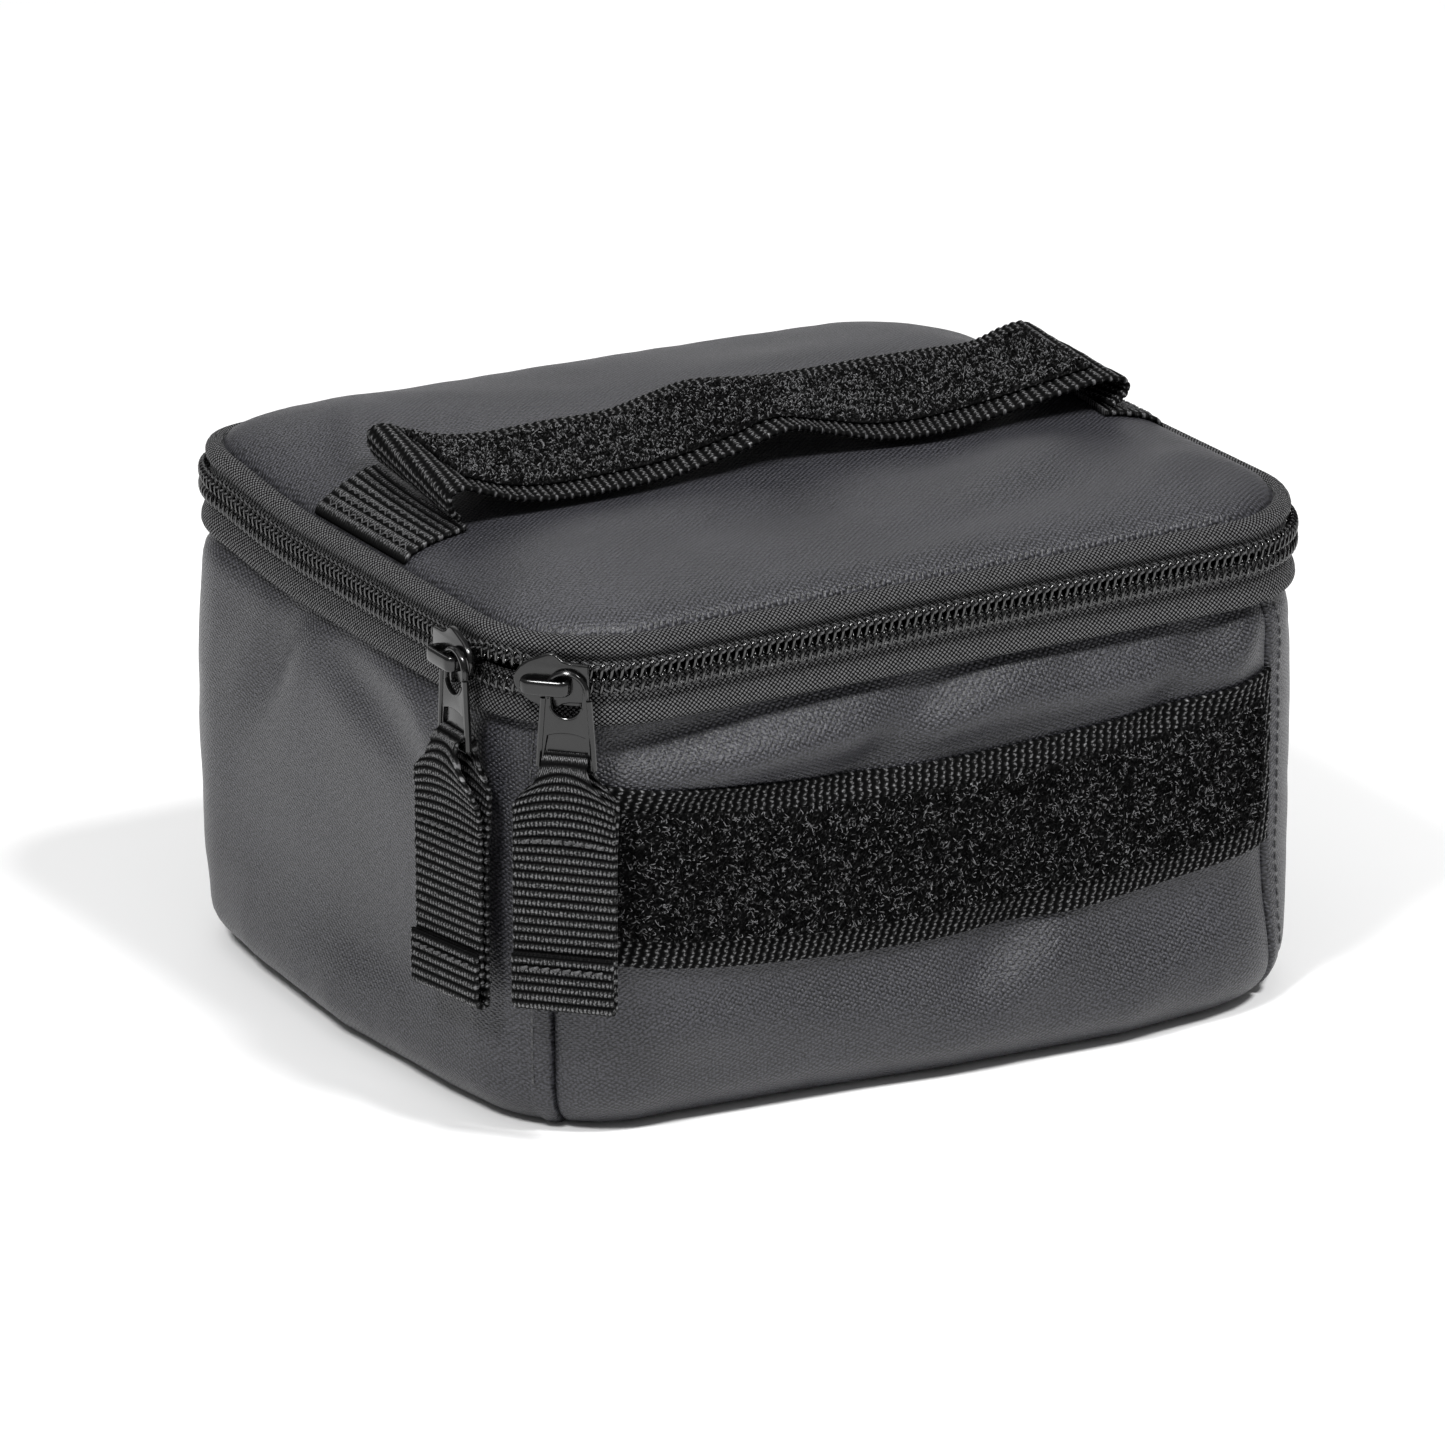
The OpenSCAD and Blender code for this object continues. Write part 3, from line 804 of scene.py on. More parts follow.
def padding(name, s0, s1):
    """Foam between a panel and the lining, following the panel's swell."""
    s = np.linspace(s0 + 1.5, s1 - 1.5, int((s1 - s0) / 3))
    s, z = np.meshgrid(s, np.linspace(FLOOR_Z - 3, LINING_TOP, 36), indexing="ij")
    outer = body(s, np.maximum(v_at(z), WALL_V - 3), -SHELL_T - 0.2)
    obj = two_sided(name + "_padding", outer, inside(s, -6.1, z))
    dress(obj, FOAM, "case", "foam", name)


for _, foam_node, wall_start, wall_end, _ in WALLS:
    padding(foam_node, wall_start, wall_end)


def seam_stitches():
    """Topstitching on the end panels beside the four upright seams."""
    pitch, gap = 2.9, 4.3
    rows = []
    for seam, side in zip(SEAMS, (1, -1, 1, -1)):
        z = np.arange(BOTTOM_R + 1, WALL_TOP - 1, pitch)
        s = np.full(len(z), seam + side * gap)
        _, _, nx, ny = plan(s)
        rows.append((body(s, v_at(z), 0.5), body(s, v_at(z + pitch * 0.72), 0.5), xyz(nx, ny, 0)))
    dress(threads("seam_topstitching", rows, 0.28, 0.12), THREAD, "case", "thread", "corner_topstitching")


seam_stitches()


# ---- Flat pieces on a square grid that fills the rounded plan ----

def plan_grid(n, inset):
    """Grid over the plan: unit rings of a square become scaled outlines. Gives x, y, ring and s."""
    t = np.linspace(-1, 1, n)
    t = t * (1.2 - 0.2 * t * t)
    a, b = np.meshgrid(t, t, indexing="ij")
    ring = np.maximum(np.maximum(np.abs(a), np.abs(b)), 1e-9)
    ua, ub = a / ring, b / ring
    half_x, half_y = CORNER_X + ARC / 2, CORNER_Y + ARC / 2
    front, back = ub <= -1 + 1e-9, ub >= 1 - 1e-9
    right, left = (ua >= 1 - 1e-9) & ~front, (ua <= -1 + 1e-9) & ~front & ~back
    s = np.where(front, ua * half_x, 0.0)
    s = np.where(right, half_x + half_y * (1 + ub), s)
    s = np.where(back & ~right, 2 * half_y + 2 * half_x - ua * half_x, s)
    s = np.where(left, 3 * half_x + 3 * half_y - ub * half_y, s)
    x, y, _, _ = plan(s, -inset)
    ring = np.where(ring < 1e-6, 0, ring)
    return x * ring, y * ring, ring, s


# Dents and swells of the lid: (x, y, size along, size across, turn in degrees, depth)
LID_DENTS = [
    (-60, 50, 30, 20, 0, 1.0), (44, 62, 40, 20, 0, -2.0), (-80, 40, 24, 6, 64, 2.2),
    (-68, 22, 24, 7, 62, -2.4), (-72, -52, 20, 10, 20, 1.3), (-34, -46, 30, 10, 14, -1.5),
    (4, -52, 34, 10, -6, -0.9), (24, -66, 44, 8, 8, -1.8), (52, -42, 24, 9, 28, 2.0),
    (74, -60, 18, 8, 34, 1.7), (78, -34, 10, 18, -20, -1.4), (34, -28, 22, 9, 32, -1.7),
    (84, 10, 11, 34, 0, 1.6), (30, 40, 30, 14, 15, 0.6), (-20, 55, 26, 13, -20, -0.5),
    (-48, 0, 20, 26, 0, -1.1),
]
# The lid's grid, the rise of its dome, and how much lower its front lies
LID_N = 97
LID_RISE = 13.3
LID_TILT = 5.5


def lid_height(ring, x, y):
    """Height of the padded lid above its seam."""
    dome = LID_RISE * np.clip(1 - ring ** 4, 0, 1) ** 0.6
    tilt = LID_TILT * smoothstep((40 - y) / 75) * np.clip(1 - ring ** 4, 0, 1)
    return dome - tilt + soft_dents(x, y, LID_DENTS) * smoothstep((1 - ring) / 0.16)


def lid_ring(x, y):
    """Which ring of the lid a place lies on, from 0 in the middle to 1 at the seam."""
    x, y = np.asarray(x, float), np.asarray(y, float)
    low, high = np.zeros(x.shape), np.full(x.shape, 1.2)
    half_x, half_y = HALF_W - LID_INSET, HALF_D - LID_INSET
    r = CORNER_R - LID_INSET
    for _ in range(24):
        mid = (low + high) / 2
        qx = np.abs(x) / np.maximum(mid, 1e-6) - half_x + r
        qy = np.abs(y) / np.maximum(mid, 1e-6) - half_y + r
        away = np.hypot(np.maximum(qx, 0), np.maximum(qy, 0)) + np.minimum(np.maximum(qx, qy), 0) - r
        low, high = np.where(away > 0, mid, low), np.where(away > 0, high, mid)
    return (low + high) / 2


def lid_top(x, y):
    """Height of the lid's top at a place."""
    return LID_SEAM_Z - 0.2 + lid_height(lid_ring(x, y), x, y)


def make_lid():
    """The domed lid fabric, relaxed as cloth, with its foam under it."""
    x, y, ring, s = plan_grid(LID_N, LID_INSET)
    sway = rim_sway(s) * ring ** 4
    points = xyz(x, y, LID_SEAM_Z - 0.2 + lid_height(ring, x, y) + sway)
    pinned = (ring > 0.985) | ((np.abs(x) > 80) & (np.abs(y) < HANDLE_W / 2))
    faces = grid_faces(LID_N, LID_N)
    moved = relax_cloth(points.reshape(-1, 3), faces, pinned.ravel(), pressure=3.0, grow=0.012)
    change = moved.reshape(points.shape) - points
    change = smooth(change - smooth(change, 5), 2)
    points = points + np.clip(0.4 * change, -0.5, 0.5) * smoothstep((1 - ring) / 0.1)[..., None]
    under = points - (0, 0, SHELL_T)
    obj = slab("lid_fabric", points, under, np.stack([x, y], -1))
    dress(obj, TWILL, "lid", "coated_fabric", "lid_panel")
    top = under * (0.985, 0.985, 1.0) - (0, 0, 0.15)
    bottom = xyz(top[..., 0], top[..., 1], np.minimum(LID_LINING_Z + 0.9 + sway, top[..., 2] - 0.3))
    foam = slab("lid_padding", top, bottom)
    dress(foam, FOAM, "lid", "foam", "lid_foam")


make_lid()


def flat_piece(name, node, inset, z_low, z_high, puff, material, body_name, slot):
    """Flat sewn sheet over the plan with a soft quilted relief of a pitch of 46 mm."""
    x, y, ring, s = plan_grid(41, inset)
    sway = rim_sway(s) * ring ** 4 * (body_name == "lid")
    quilt = np.abs(np.cos(math.pi * x / 46) * np.cos(math.pi * y / 46)) ** 0.6
    relief = puff * quilt * smoothstep((1 - ring) / 0.1)
    top = xyz(x, y, z_high + sway + np.maximum(relief, 0))
    bottom = xyz(x, y, z_low + sway + np.minimum(relief, 0))
    dress(slab(name, top, bottom, np.stack([x, y], -1)), material, body_name, slot, node)


flat_piece("base_fabric", "base_panel", 19.5, 0.05, 1.2, 0, TWILL, "case", "coated_fabric")
flat_piece("floor_cloth", "floor_lining", 6.3, FLOOR_Z - 0.8, FLOOR_Z - 0.2, 0.25, FLAT_LINING,
           "case", "lining")
flat_piece("lid_cloth", "lid_lining", -0.2, LID_LINING_Z + 0.35, LID_LINING_Z + 0.8, -0.25, FLAT_LINING,
           "lid", "lining")


# ---- Lining, binding, tapes ----

def wall_cloth():
    """Lining of the walls, a little slack between its top and bottom seams."""
    s, up = np.meshgrid(np.linspace(0, PERIMETER, 240, endpoint=False), np.linspace(0, 1, 24), indexing="ij")
    z = FLOOR_Z + up * (LINING_TOP - FLOOR_Z)
    slack = 0.22 * np.sin(s / PERIMETER * 2 * math.pi * 23) * np.sqrt(np.sin(math.pi * up).clip(0))
    inner, outer = inside(s, -6.9 + slack, z), inside(s, -6.25, z)
    obj = two_sided("wall_cloth", inner, outer, np.stack([s, z], -1), wrap=True)
    dress(obj, LINING, "case", "lining", "wall_lining")


def rim_tape():
    """Binding folded over the top of the foam and lining."""
    s, turn = np.meshgrid(np.linspace(0, PERIMETER, 480, endpoint=False), turns(20), indexing="ij")
    out = -3.9 + 3.6 * squarish(np.cos(turn), 0.6)
    z = LINING_TOP + 0.95 + 1.15 * squarish(np.sin(turn), 0.6)
    binding = skin("rim_tape", inside(s, out, z), wrap=True, uv=np.stack([s, turn * 1.6], -1))
    dress(binding, BINDING, "case", "binding", "rim_binding")


wall_cloth()
rim_tape()

# Profiles of the tapes: (distance outward, height)
LOWER_TAPE = [(-1.0, CHAIN_Z - 0.9), (0.0, CHAIN_Z - 1.2), (0.15, CHAIN_Z - 2.5), (0.3, CHAIN_Z - 4),
              (0.7, 104), (1.2, 103), (1.7, 102), (2.1, 101), (2.35, 100), (2.4, 99), (2.1, 98.1),
              (1.3, 97.8), (0.3, 98.1), (-0.9, 98.6)]
LID_ROLL = [(-3.0, 115.6), (-3.3, 116.5), (-3.0, 117.3), (-2.3, 117.8), (-1.4, 118.0), (-0.5, 117.8),
            (0.3, 117.3), (0.9, 116.5)]
UPPER_TAPE = LID_ROLL + [(1.15, 115.6), (1.1, 114.7), (0.8, 113.9), (0.35, 113.2), (0.05, 112.4),
                         (0.0, 111.5), (0.0, 110.6), (-1.0, CHAIN_Z + 0.9)]


def resample(line, step):
    """The line with points a fixed step apart, and their places along it."""
    p = np.array(line, float)
    length = np.concatenate([[0], np.cumsum(np.linalg.norm(np.diff(p, axis=0), axis=1))])
    at = np.linspace(0, length[-1], int(length[-1] / step) + 1)
    return np.stack([np.interp(at, length, p[:, k]) for k in (0, 1)], -1), at


def tape(name, line, s0, s1, thick, step):
    """Tape round the case with the fine ladder of its weave in its mesh."""
    fine, at = resample(line, 0.42)
    normal = line_normals(fine)
    if normal[len(normal) // 2, 0] < 0:
        normal = -normal
    s = np.arange(s0, s1, step)
    rung = 0.05 * np.sin(2 * math.pi * s / 1.05)[:, None] * (np.sin(2 * math.pi * at / 1.68) > -0.2)
    outer = rim(s[:, None], fine[:, 0] + normal[:, 0] * rung, fine[:, 1] + normal[:, 1] * rung)
    inner = rim(s[:, None], fine[:, 0] - normal[:, 0] * thick, fine[:, 1] - normal[:, 1] * thick)
    return two_sided(name, outer, inner, np.stack(np.meshgrid(s, at, indexing="ij"), -1), sharp=50)


lower_tape = tape("lower_tape", LOWER_TAPE, ZIP_START_S, ZIP_END_S, 0.7, 0.6)
dress(lower_tape, TAPE, "case", "zipper_tape", "lower_zipper_tape")
upper_tape = tape("upper_tape", UPPER_TAPE, ZIP_START_S, ZIP_END_S, 0.7, 0.6)
dress(upper_tape, TAPE, "lid", "zipper_tape", "upper_zipper_tape")

HINGE_LINE = LID_ROLL + [(1.1, 115.6), (1.1, 114), (0.8, 112), (0.5, 110), (0.5, 108), (0.8, 105), (1.1, 102),
                         (1.6, 100), (1.6, 98.8), (1.0, 98.1), (0.1, 98.2), (-0.9, 98.6)]
hinge = tape("hinge_tape", HINGE_LINE, ZIP_END_S - PERIMETER, ZIP_START_S, 0.9, 1.0)
dress(hinge, TAPE, None, "binding", "hinge_tape_lower", "hinge_tape_upper")
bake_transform(hinge)


def end_tabs():
    """Fabric tabs folded over the zipper's two ends."""
    line = np.array([(1.9, CHAIN_Z + 1.0), (3.0, CHAIN_Z - 1.5), (2.9, 104), (2.9, 101), (2.9, 98.6)])
    profile = np.vstack([line, (line - 0.8 * line_normals(line))[::-1]])
    parts = []
    for s0 in (ZIP_START_S - 1.5, ZIP_END_S - 4.8):
        loops = rim(np.linspace(s0, s0 + 6.3, 14)[:, None], profile[:, 0], profile[:, 1])
        parts.append((loops, outward_faces(loops, skin_faces(*loops.shape[:2]))))
    dress(join_parts("zipper_end_covers", parts, 50), BINDING, "case", "binding", "zipper_end_tabs")


end_tabs()


# ---- Zipper coils ----

# The chain: the pitch of its teeth, the filament's radius, and where each coil's middle lies
TOOTH = 2.1
WIRE_R = 0.33
COIL_OUT = 1.7
COIL_RISE = 1.8


def chain_open(s):
    """How far the two coils part between the sliders."""
    middle = (LEFT_SLIDER_S + RIGHT_SLIDER_S) / 2
    return 1.5 * np.exp(-((np.mod(s, PERIMETER) - middle) / 7.5) ** 4)


def tube(middle, centre, radius, sides=6):
    """Loops round a line of points; centre gives each point's inner side."""
    run = unit(np.gradient(middle, axis=0))
    away = middle - centre
    away = unit(away - (away * run).sum(1, keepdims=True) * run)
    side = np.cross(run, away)
    turn = turns(sides)[:, None]
    return middle[:, None] + radius * (away[:, None] * np.cos(turn) + side[:, None] * np.sin(turn))


def coil(name, direction, body_name, node):
    """Monofilament wound in flat turns that meet at the middle of the chain; direction is 1 for the lid."""
    count = (ZIP_END_S - ZIP_START_S - 1) / TOOTH
    phase = np.linspace(0, count * 2 * math.pi, int(count * 14))
    s = ZIP_START_S + 0.5 + TOOTH * phase / (2 * math.pi) + (TOOTH / 2 if direction > 0 else 0)
    head = 0.5 * np.maximum(np.cos(phase), 0) ** 3
    z = CHAIN_Z + direction * (COIL_RISE - 1.75 * np.cos(phase) - head * 0.3 + chain_open(s))
    out = COIL_OUT + 0.95 * np.sin(phase) * direction + 0.25 * head
    centre = rim(s, COIL_OUT, CHAIN_Z + direction * (COIL_RISE + chain_open(s)))
    obj = skin(name, tube(rim(s, out, z), centre, WIRE_R), sharp=60)
    dress(obj, COIL, body_name, "zipper_coil", node)


def coil_thread(name, direction, body_name):
    """Rows of sewing thread that hold a coil to its tape: beads between the turns, then slanting stitches."""
    s = np.arange(ZIP_START_S + 1, ZIP_END_S - 1, TOOTH)
    _, _, nx, ny = plan(s)
    rows = []
    for rise, lean, length, out in ((2.5, 0.3, 1.2, 2.5), (3.5, -0.45, 1.4, 1.6)):
        z = CHAIN_Z + direction * (rise + chain_open(s))
        start = rim(s - length / 2, out, z - lean * direction)
        rows.append((start, rim(s + length / 2, out, z + lean * direction), xyz(nx, ny, 0)))
    dress(threads(name, rows, 0.24, 0.15), THREAD, body_name, "thread")


for half, direction, half_body in (("lower", -1, "case"), ("upper", 1, "lid")):
    coil(half + "_coil", direction, half_body, half + "_zipper_coil")
for half, direction, half_body in (("lower", -1, "case"), ("upper", 1, "lid")):
    coil_thread(half + "_coil_thread", direction, half_body)


# ---- Front webbing and pile ----

def front_middle(s):
    """Height of the middle of the front webbing, which sags between its ends."""
    return 54.8 + np.where(s < 0, 7.2, 4.4) * (s / 80) ** 2


def front_place(s, across, lift):
    """Point on the front webbing: it lies on the padded front."""
    return body(s, v_at(front_middle(s) + across), lift + 0.75)


def fine_edges(width, covered):
    """Places across a strip: fine where it shows beside a covered middle."""
    edge = np.arange(-width / 2, -covered / 2 + 0.8, 0.27)
    return np.concatenate([edge, np.linspace(-covered / 2 + 1.5, covered / 2 - 1.5, 12), -edge[::-1]])


# Ends of the front webbing, just inside its seams
FRONT_S0 = SEAM_FL - PERIMETER + 0.3
FRONT_S1 = SEAM_FR - 0.3
front_strip = ribbon("front_webbing_strip", front_place, np.arange(FRONT_S0, FRONT_S1, RIB / 7),
                     fine_edges(WEBBING_W, LOOP_W), 1.2, rib_relief(), slant=-0.25)
dress(front_strip, FINE_WEBBING, "case", "webbing", "front_webbing")


def pile_base(name, place, l0, l1, width, thick):
    """Backing of a loop strip with the matted ground of its pile, each point with a random share of the pile's
    painted glints.
    """
    along = np.linspace(l0, l1, int((l1 - l0) / 0.4))
    across = np.linspace(-width / 2, width / 2, int(width / 0.4))
    bumps = rng.normal(0, 0.11, (len(along), len(across)))

    def relief(a, w):
        return bumps + 0.06 * np.sin(a * 1.7 + 2 * np.sin(w * 0.9)) * np.sin(w * 1.9)

    ground = ribbon(name, place, along, across, thick, relief, edge_r=0.9)
    # Random share of the painted glints for each point of the ground
    glint_share = rng.uniform(0, 0.85, len(ground.data.vertices))
    set_uv(ground.data, np.stack([glint_share, 0 * glint_share], -1))
    return ground


def pile_loops(name, place, l0, l1, width, count, ground):
    """Small thread loops standing on a loop strip."""
    t = np.linspace(0, 1, 4)
    turn = turns(3) + math.pi / 2
    thick = 0.10
    l = rng.uniform(l0 + 0.7, l1 - 0.7, count)
    w = rng.uniform(-width / 2 + 0.6, width / 2 - 0.6, count)
    heading = rng.uniform(0, 2 * math.pi, count)[:, None]
    reach = rng.uniform(0.35, 0.85, count)[:, None]
    height = rng.uniform(0.35, 0.95, count)[:, None]
    lean = rng.normal(0, 0.35, (count, 2))
    arch = np.sin(math.pi * t) ** 0.8
    along = l[:, None] + reach * np.cos(heading) * (t - 0.5) * 1.3 + lean[:, :1] * arch
    across = w[:, None] + reach * np.sin(heading) * (t - 0.5) * 1.3 + lean[:, 1:] * arch
    up = ground - 0.15 + height * arch
    along = along[:, :, None] - np.sin(heading)[:, :, None] * np.cos(turn) * thick
    across = across[:, :, None] + np.cos(heading)[:, :, None] * np.cos(turn) * thick
    points = place(along, across, up[:, :, None] + np.sin(turn) * thick)
    each = len(t) * len(turn)
    sides = repeat_faces(grid_faces(len(t), len(turn), wrap_v=True), count, each)
    caps = repeat_faces(np.array([[0, 1, 2], [each - 1, each - 2, each - 3]]), count, each)
    # Random share of the painted glints for each loop
    glint_share = np.repeat(rng.uniform(0.2, 1, count), each)
    return mesh_object(name, points, sides.tolist() + caps.tolist(), np.stack([glint_share, glint_share], -1))


# Ends of the front loop strip, a little way round the front corners
FRONT_LOOP_S0 = -CORNER_X - 28 / 90 * ARC
FRONT_LOOP_S1 = CORNER_X + 18 / 90 * ARC


def on_front_webbing(s, across, lift):
    """Point on the front loop strip, a little above the middle of its webbing."""
    return front_place(s, across + 0.6, lift + 1.25)


front_loop = (on_front_webbing, FRONT_LOOP_S0, FRONT_LOOP_S1, LOOP_W - 1)
dress(pile_base("front_loop_ground", *front_loop, 1.0), PILE, "case", "loop_pile", "front_loop_strip")
dress(pile_loops("front_loop_pile", *front_loop, 9300, 0.5), PILE, "case", "loop_pile")


# ---- Handle ----

# The handle's two edges: (x, height)
GRIP_FRONT = [
    (-86.4, 126.2), (-88.0, 127.8), (-88.9, 130.0), (-88.4, 132.4), (-85.2, 133.5), (-79, 131.4),
    (-72, 129.0), (-61, 127.3), (-46, 127.2), (-30, 128.2), (-14, 131.0), (-1, 134.0), (10, 131.6),
    (24, 127.9), (38, 126.9), (55, 128.5), (72, 131.0), (84, 132.4), (90, 131.4), (91.0, 129.0),
    (89.0, 126.8), (86.4, 125.8),
]
GRIP_BACK = [
    (-82.6, 127.6), (-85.0, 129.8), (-86.6, 132.8), (-86.4, 135.6), (-83.2, 136.4), (-78, 134.4),
    (-70, 131.8), (-58.6, 130.2), (-42, 130.4), (-25, 130.4), (-12, 132.9), (-2, 134.2), (15, 132.4),
    (30, 132.0), (44.5, 132.1), (62, 131.8), (74, 131.6), (83, 133.9), (88.5, 134.3), (90.2, 132),
    (87.5, 129.4), (83.5, 127.6),
]


def paired_path(front, back):
    """Like line_path, for a strip between two edge lines: the place also depends on how far across it is."""
    front, back = np.array(front), np.array(back)
    middle, lean = (front + back) / 2, (back - front) / 2
    grip, length = line_path(middle)
    fine = np.linspace(0, length, 1200)
    (x, z), _ = grip(fine)
    knot = [fine[np.argmin((x - mx) ** 2 + (z - mz) ** 2)] for mx, mz in middle]
    knot[0], knot[-1] = 0, length

    def at(l, share):
        (x, z), normal = grip(l)
        place = np.interp(l, knot, np.arange(len(knot)))
        lean_x, lean_z = (sample_grid(lean[:, k:k + 1], place, 0, False) for k in (0, 1))
        return (x + share * lean_x, z + share * lean_z), normal

    return at, length


grip_at, GRIP_LENGTH = paired_path(GRIP_FRONT, GRIP_BACK)


def grip_place(l, across, lift):
    """Point on the slack handle webbing, which rolls as it goes."""
    (x, z), (nx, nz) = grip_at(l, across / (HANDLE_W / 2))
    return xyz(x + nx * lift, across, z + nz * lift)


def handle_blend(obj, side):
    """Bakes the piece's placement into its mesh."""
    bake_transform(obj)


def on_grip(l, across, lift):
    """Point on the handle's loop strip."""
    return grip_place(l, across, lift + 1.25)


def make_grip():
    """The slack webbing with its loop strip, in two halves that meet in the middle."""
    middle = round(GRIP_LENGTH / 2 / RIB) * RIB
    bare_end = 14.5
    for tail, side, l0, l1 in (("_left", -1, 0, middle), ("_right", 1, middle, GRIP_LENGTH)):
        along = np.linspace(l0, l1, int((l1 - l0) / RIB * 7))
        strap = ribbon("grip_webbing" + tail, grip_place, along, fine_edges(HANDLE_W, LOOP_W), 1.2,
                       rib_relief(), slant=-0.12)
        dress(strap, FINE_WEBBING, None, "webbing", "handle_grip")
        strip = (on_grip, max(l0, bare_end), min(l1, GRIP_LENGTH - bare_end), LOOP_W - 0.5)
        ground = pile_base("grip_loop_ground" + tail, *strip, 1.0)
        dress(ground, PILE, None, "loop_pile", "handle_loop_strip")
        pile = pile_loops("grip_loop_pile" + tail, *strip, 5600, 0.5)
        dress(pile, PILE, None, "loop_pile")
        for piece in (strap, ground, pile):
            handle_blend(piece, side)


make_grip()


def anchor(name, node, side):
    """Stitched end of the handle webbing, lying on the lid."""
    def place(l, across, lift):
        x = side * (HALF_W - LID_INSET - 0.2 - l)
        return xyz(x, across, lid_top(x, across) + 0.95 + lift)

    along, across = np.arange(0, 16.2, RIB / 8), np.arange(-HANDLE_W / 2, HANDLE_W / 2, 0.28)
    strip = ribbon(name, place, along, across, 1.2, rib_relief())
    dress(strip, WEBBING, "lid", "webbing", node)
    rows = []
    for row in range(5):
        across = np.arange(-HANDLE_W / 2 + 3, HANDLE_W / 2 - 3, 1.5)
        lean = np.where(np.arange(len(across)) % 2 == 0, 0.9, -0.9)
        l = 2.2 + row * 2.3 + rng.uniform(-0.2, 0.2, len(across))
        start = place(l - lean / 2, across - 0.7, 0.75)
        rows.append((start, place(l + lean / 2, across + 0.7, 0.75), (0, 0, 1)))
    dress(threads(name + "_stitches", rows, 0.2, 0.2), THREAD, "lid", "thread")


anchor("anchor_left", "handle_anchor_left", -1)
anchor("anchor_right", "handle_anchor_right", 1)


# ---- Sliders, pulls and tabs: s along the zipper, n outward, z from the middle of the chain ----

# Each pull's eye, the front and thickness of its plate, its end bar, and half the tab's width
EYE_S, EYE_Z, EYE_R = 3.9, -1.8, 4.0
PULL_N, PULL_T = 5.45, 1.2
PULL_END_Z = -20.0
BAR_Z = PULL_END_Z + 1.2
BAR_N = PULL_N + PULL_T / 2
TAB_HALF = 11.7


def left_at(s, n, z):
    """Point beside the left slider."""
    return xyz(-HALF_W - n, LEFT_SLIDER_Y - s, z + CHAIN_Z)


def right_at(s, n, z):
    """Point beside the right slider, which sits half way round its corner."""
    c = math.sqrt(0.5)
    return xyz(-CORNER_X + c * (s - CORNER_R - n), -CORNER_Y - c * (s + CORNER_R + n), z + CHAIN_Z)


def arc_points(x, z, r, start, end, count):
    """Points on an arc between two angles in degrees."""
    turn = np.radians(np.linspace(start, end, count))
    return [(x + r * math.cos(t), z + r * math.sin(t)) for t in turn]


def rectangle(x, z, half_x, half_z):
    """Corners of a rectangle round its middle."""
    return [(x + a * half_x, z + b * half_z) for a, b in ((-1, -1), (1, -1), (1, 1), (-1, 1))]


def plate(outlines, n0, n1, bevel, at):
    """Flat plate with rounded edges between two distances outward, holes after the first outline."""
    curve = bpy.data.curves.new("plate", "CURVE")
    curve.dimensions = "2D"
    curve.fill_mode = "BOTH"
    for outline in outlines:
        spline = curve.splines.new("POLY")
        spline.points.add(len(outline) - 1)
        for point, (x, z) in zip(spline.points, outline):
            point.co = (x, z, 0, 1)
        spline.use_cyclic_u = True
    curve.extrude = (n1 - n0) / 2 - bevel
    curve.bevel_depth = bevel
    curve.bevel_resolution = 2
    curve.offset = -bevel
    shape = bpy.data.objects.new("plate", curve)
    bpy.context.scene.collection.objects.link(shape)
    mesh = bpy.data.meshes.new_from_object(shape.evaluated_get(bpy.context.evaluated_depsgraph_get()))
    work = bmesh.new()
    work.from_mesh(mesh)
    bmesh.ops.remove_doubles(work, verts=work.verts, dist=0.01)
    bmesh.ops.recalc_face_normals(work, faces=work.faces)
    points = np.array([v.co for v in work.verts])
    work.verts.index_update()
    faces = [[v.index for v in face.verts] for face in work.faces]
    work.free()
    bpy.data.objects.remove(shape)
    bpy.data.curves.remove(curve)
    bpy.data.meshes.remove(mesh)
    placed = at(points[:, 0], (n0 + n1) / 2 - points[:, 2], points[:, 1])
    return placed, faces


def wire(points, n, radius, at):
    """Round wire along a line at a distance outward."""
    p = np.array(points, float)
    side = line_normals(p) * radius
    turn = turns(10)
    x = p[:, :1] + side[:, :1] * np.cos(turn)
    z = p[:, 1:] + side[:, 1:] * np.cos(turn)
    loops = at(x, n + radius * np.sin(turn), z)
    return loops, outward_faces(loops, skin_faces(*loops.shape[:2]))


def bent_bar(line, z_mid, half_z, thick, at):
    """Bar with rounded edges whose middle follows a line in the s, n plane."""
    path, length = line_path(line)
    (s, n), (ns, nn) = path(np.linspace(0, length, 40)[:, None])
    turn = turns(16)
    wide = squarish(np.cos(turn), 0.55) * half_z
    deep = squarish(np.sin(turn), 0.7) * thick / 2
    loops = at(s + ns * deep, n + nn * deep, z_mid + wide)
    return loops, outward_faces(loops, skin_faces(*loops.shape[:2]))


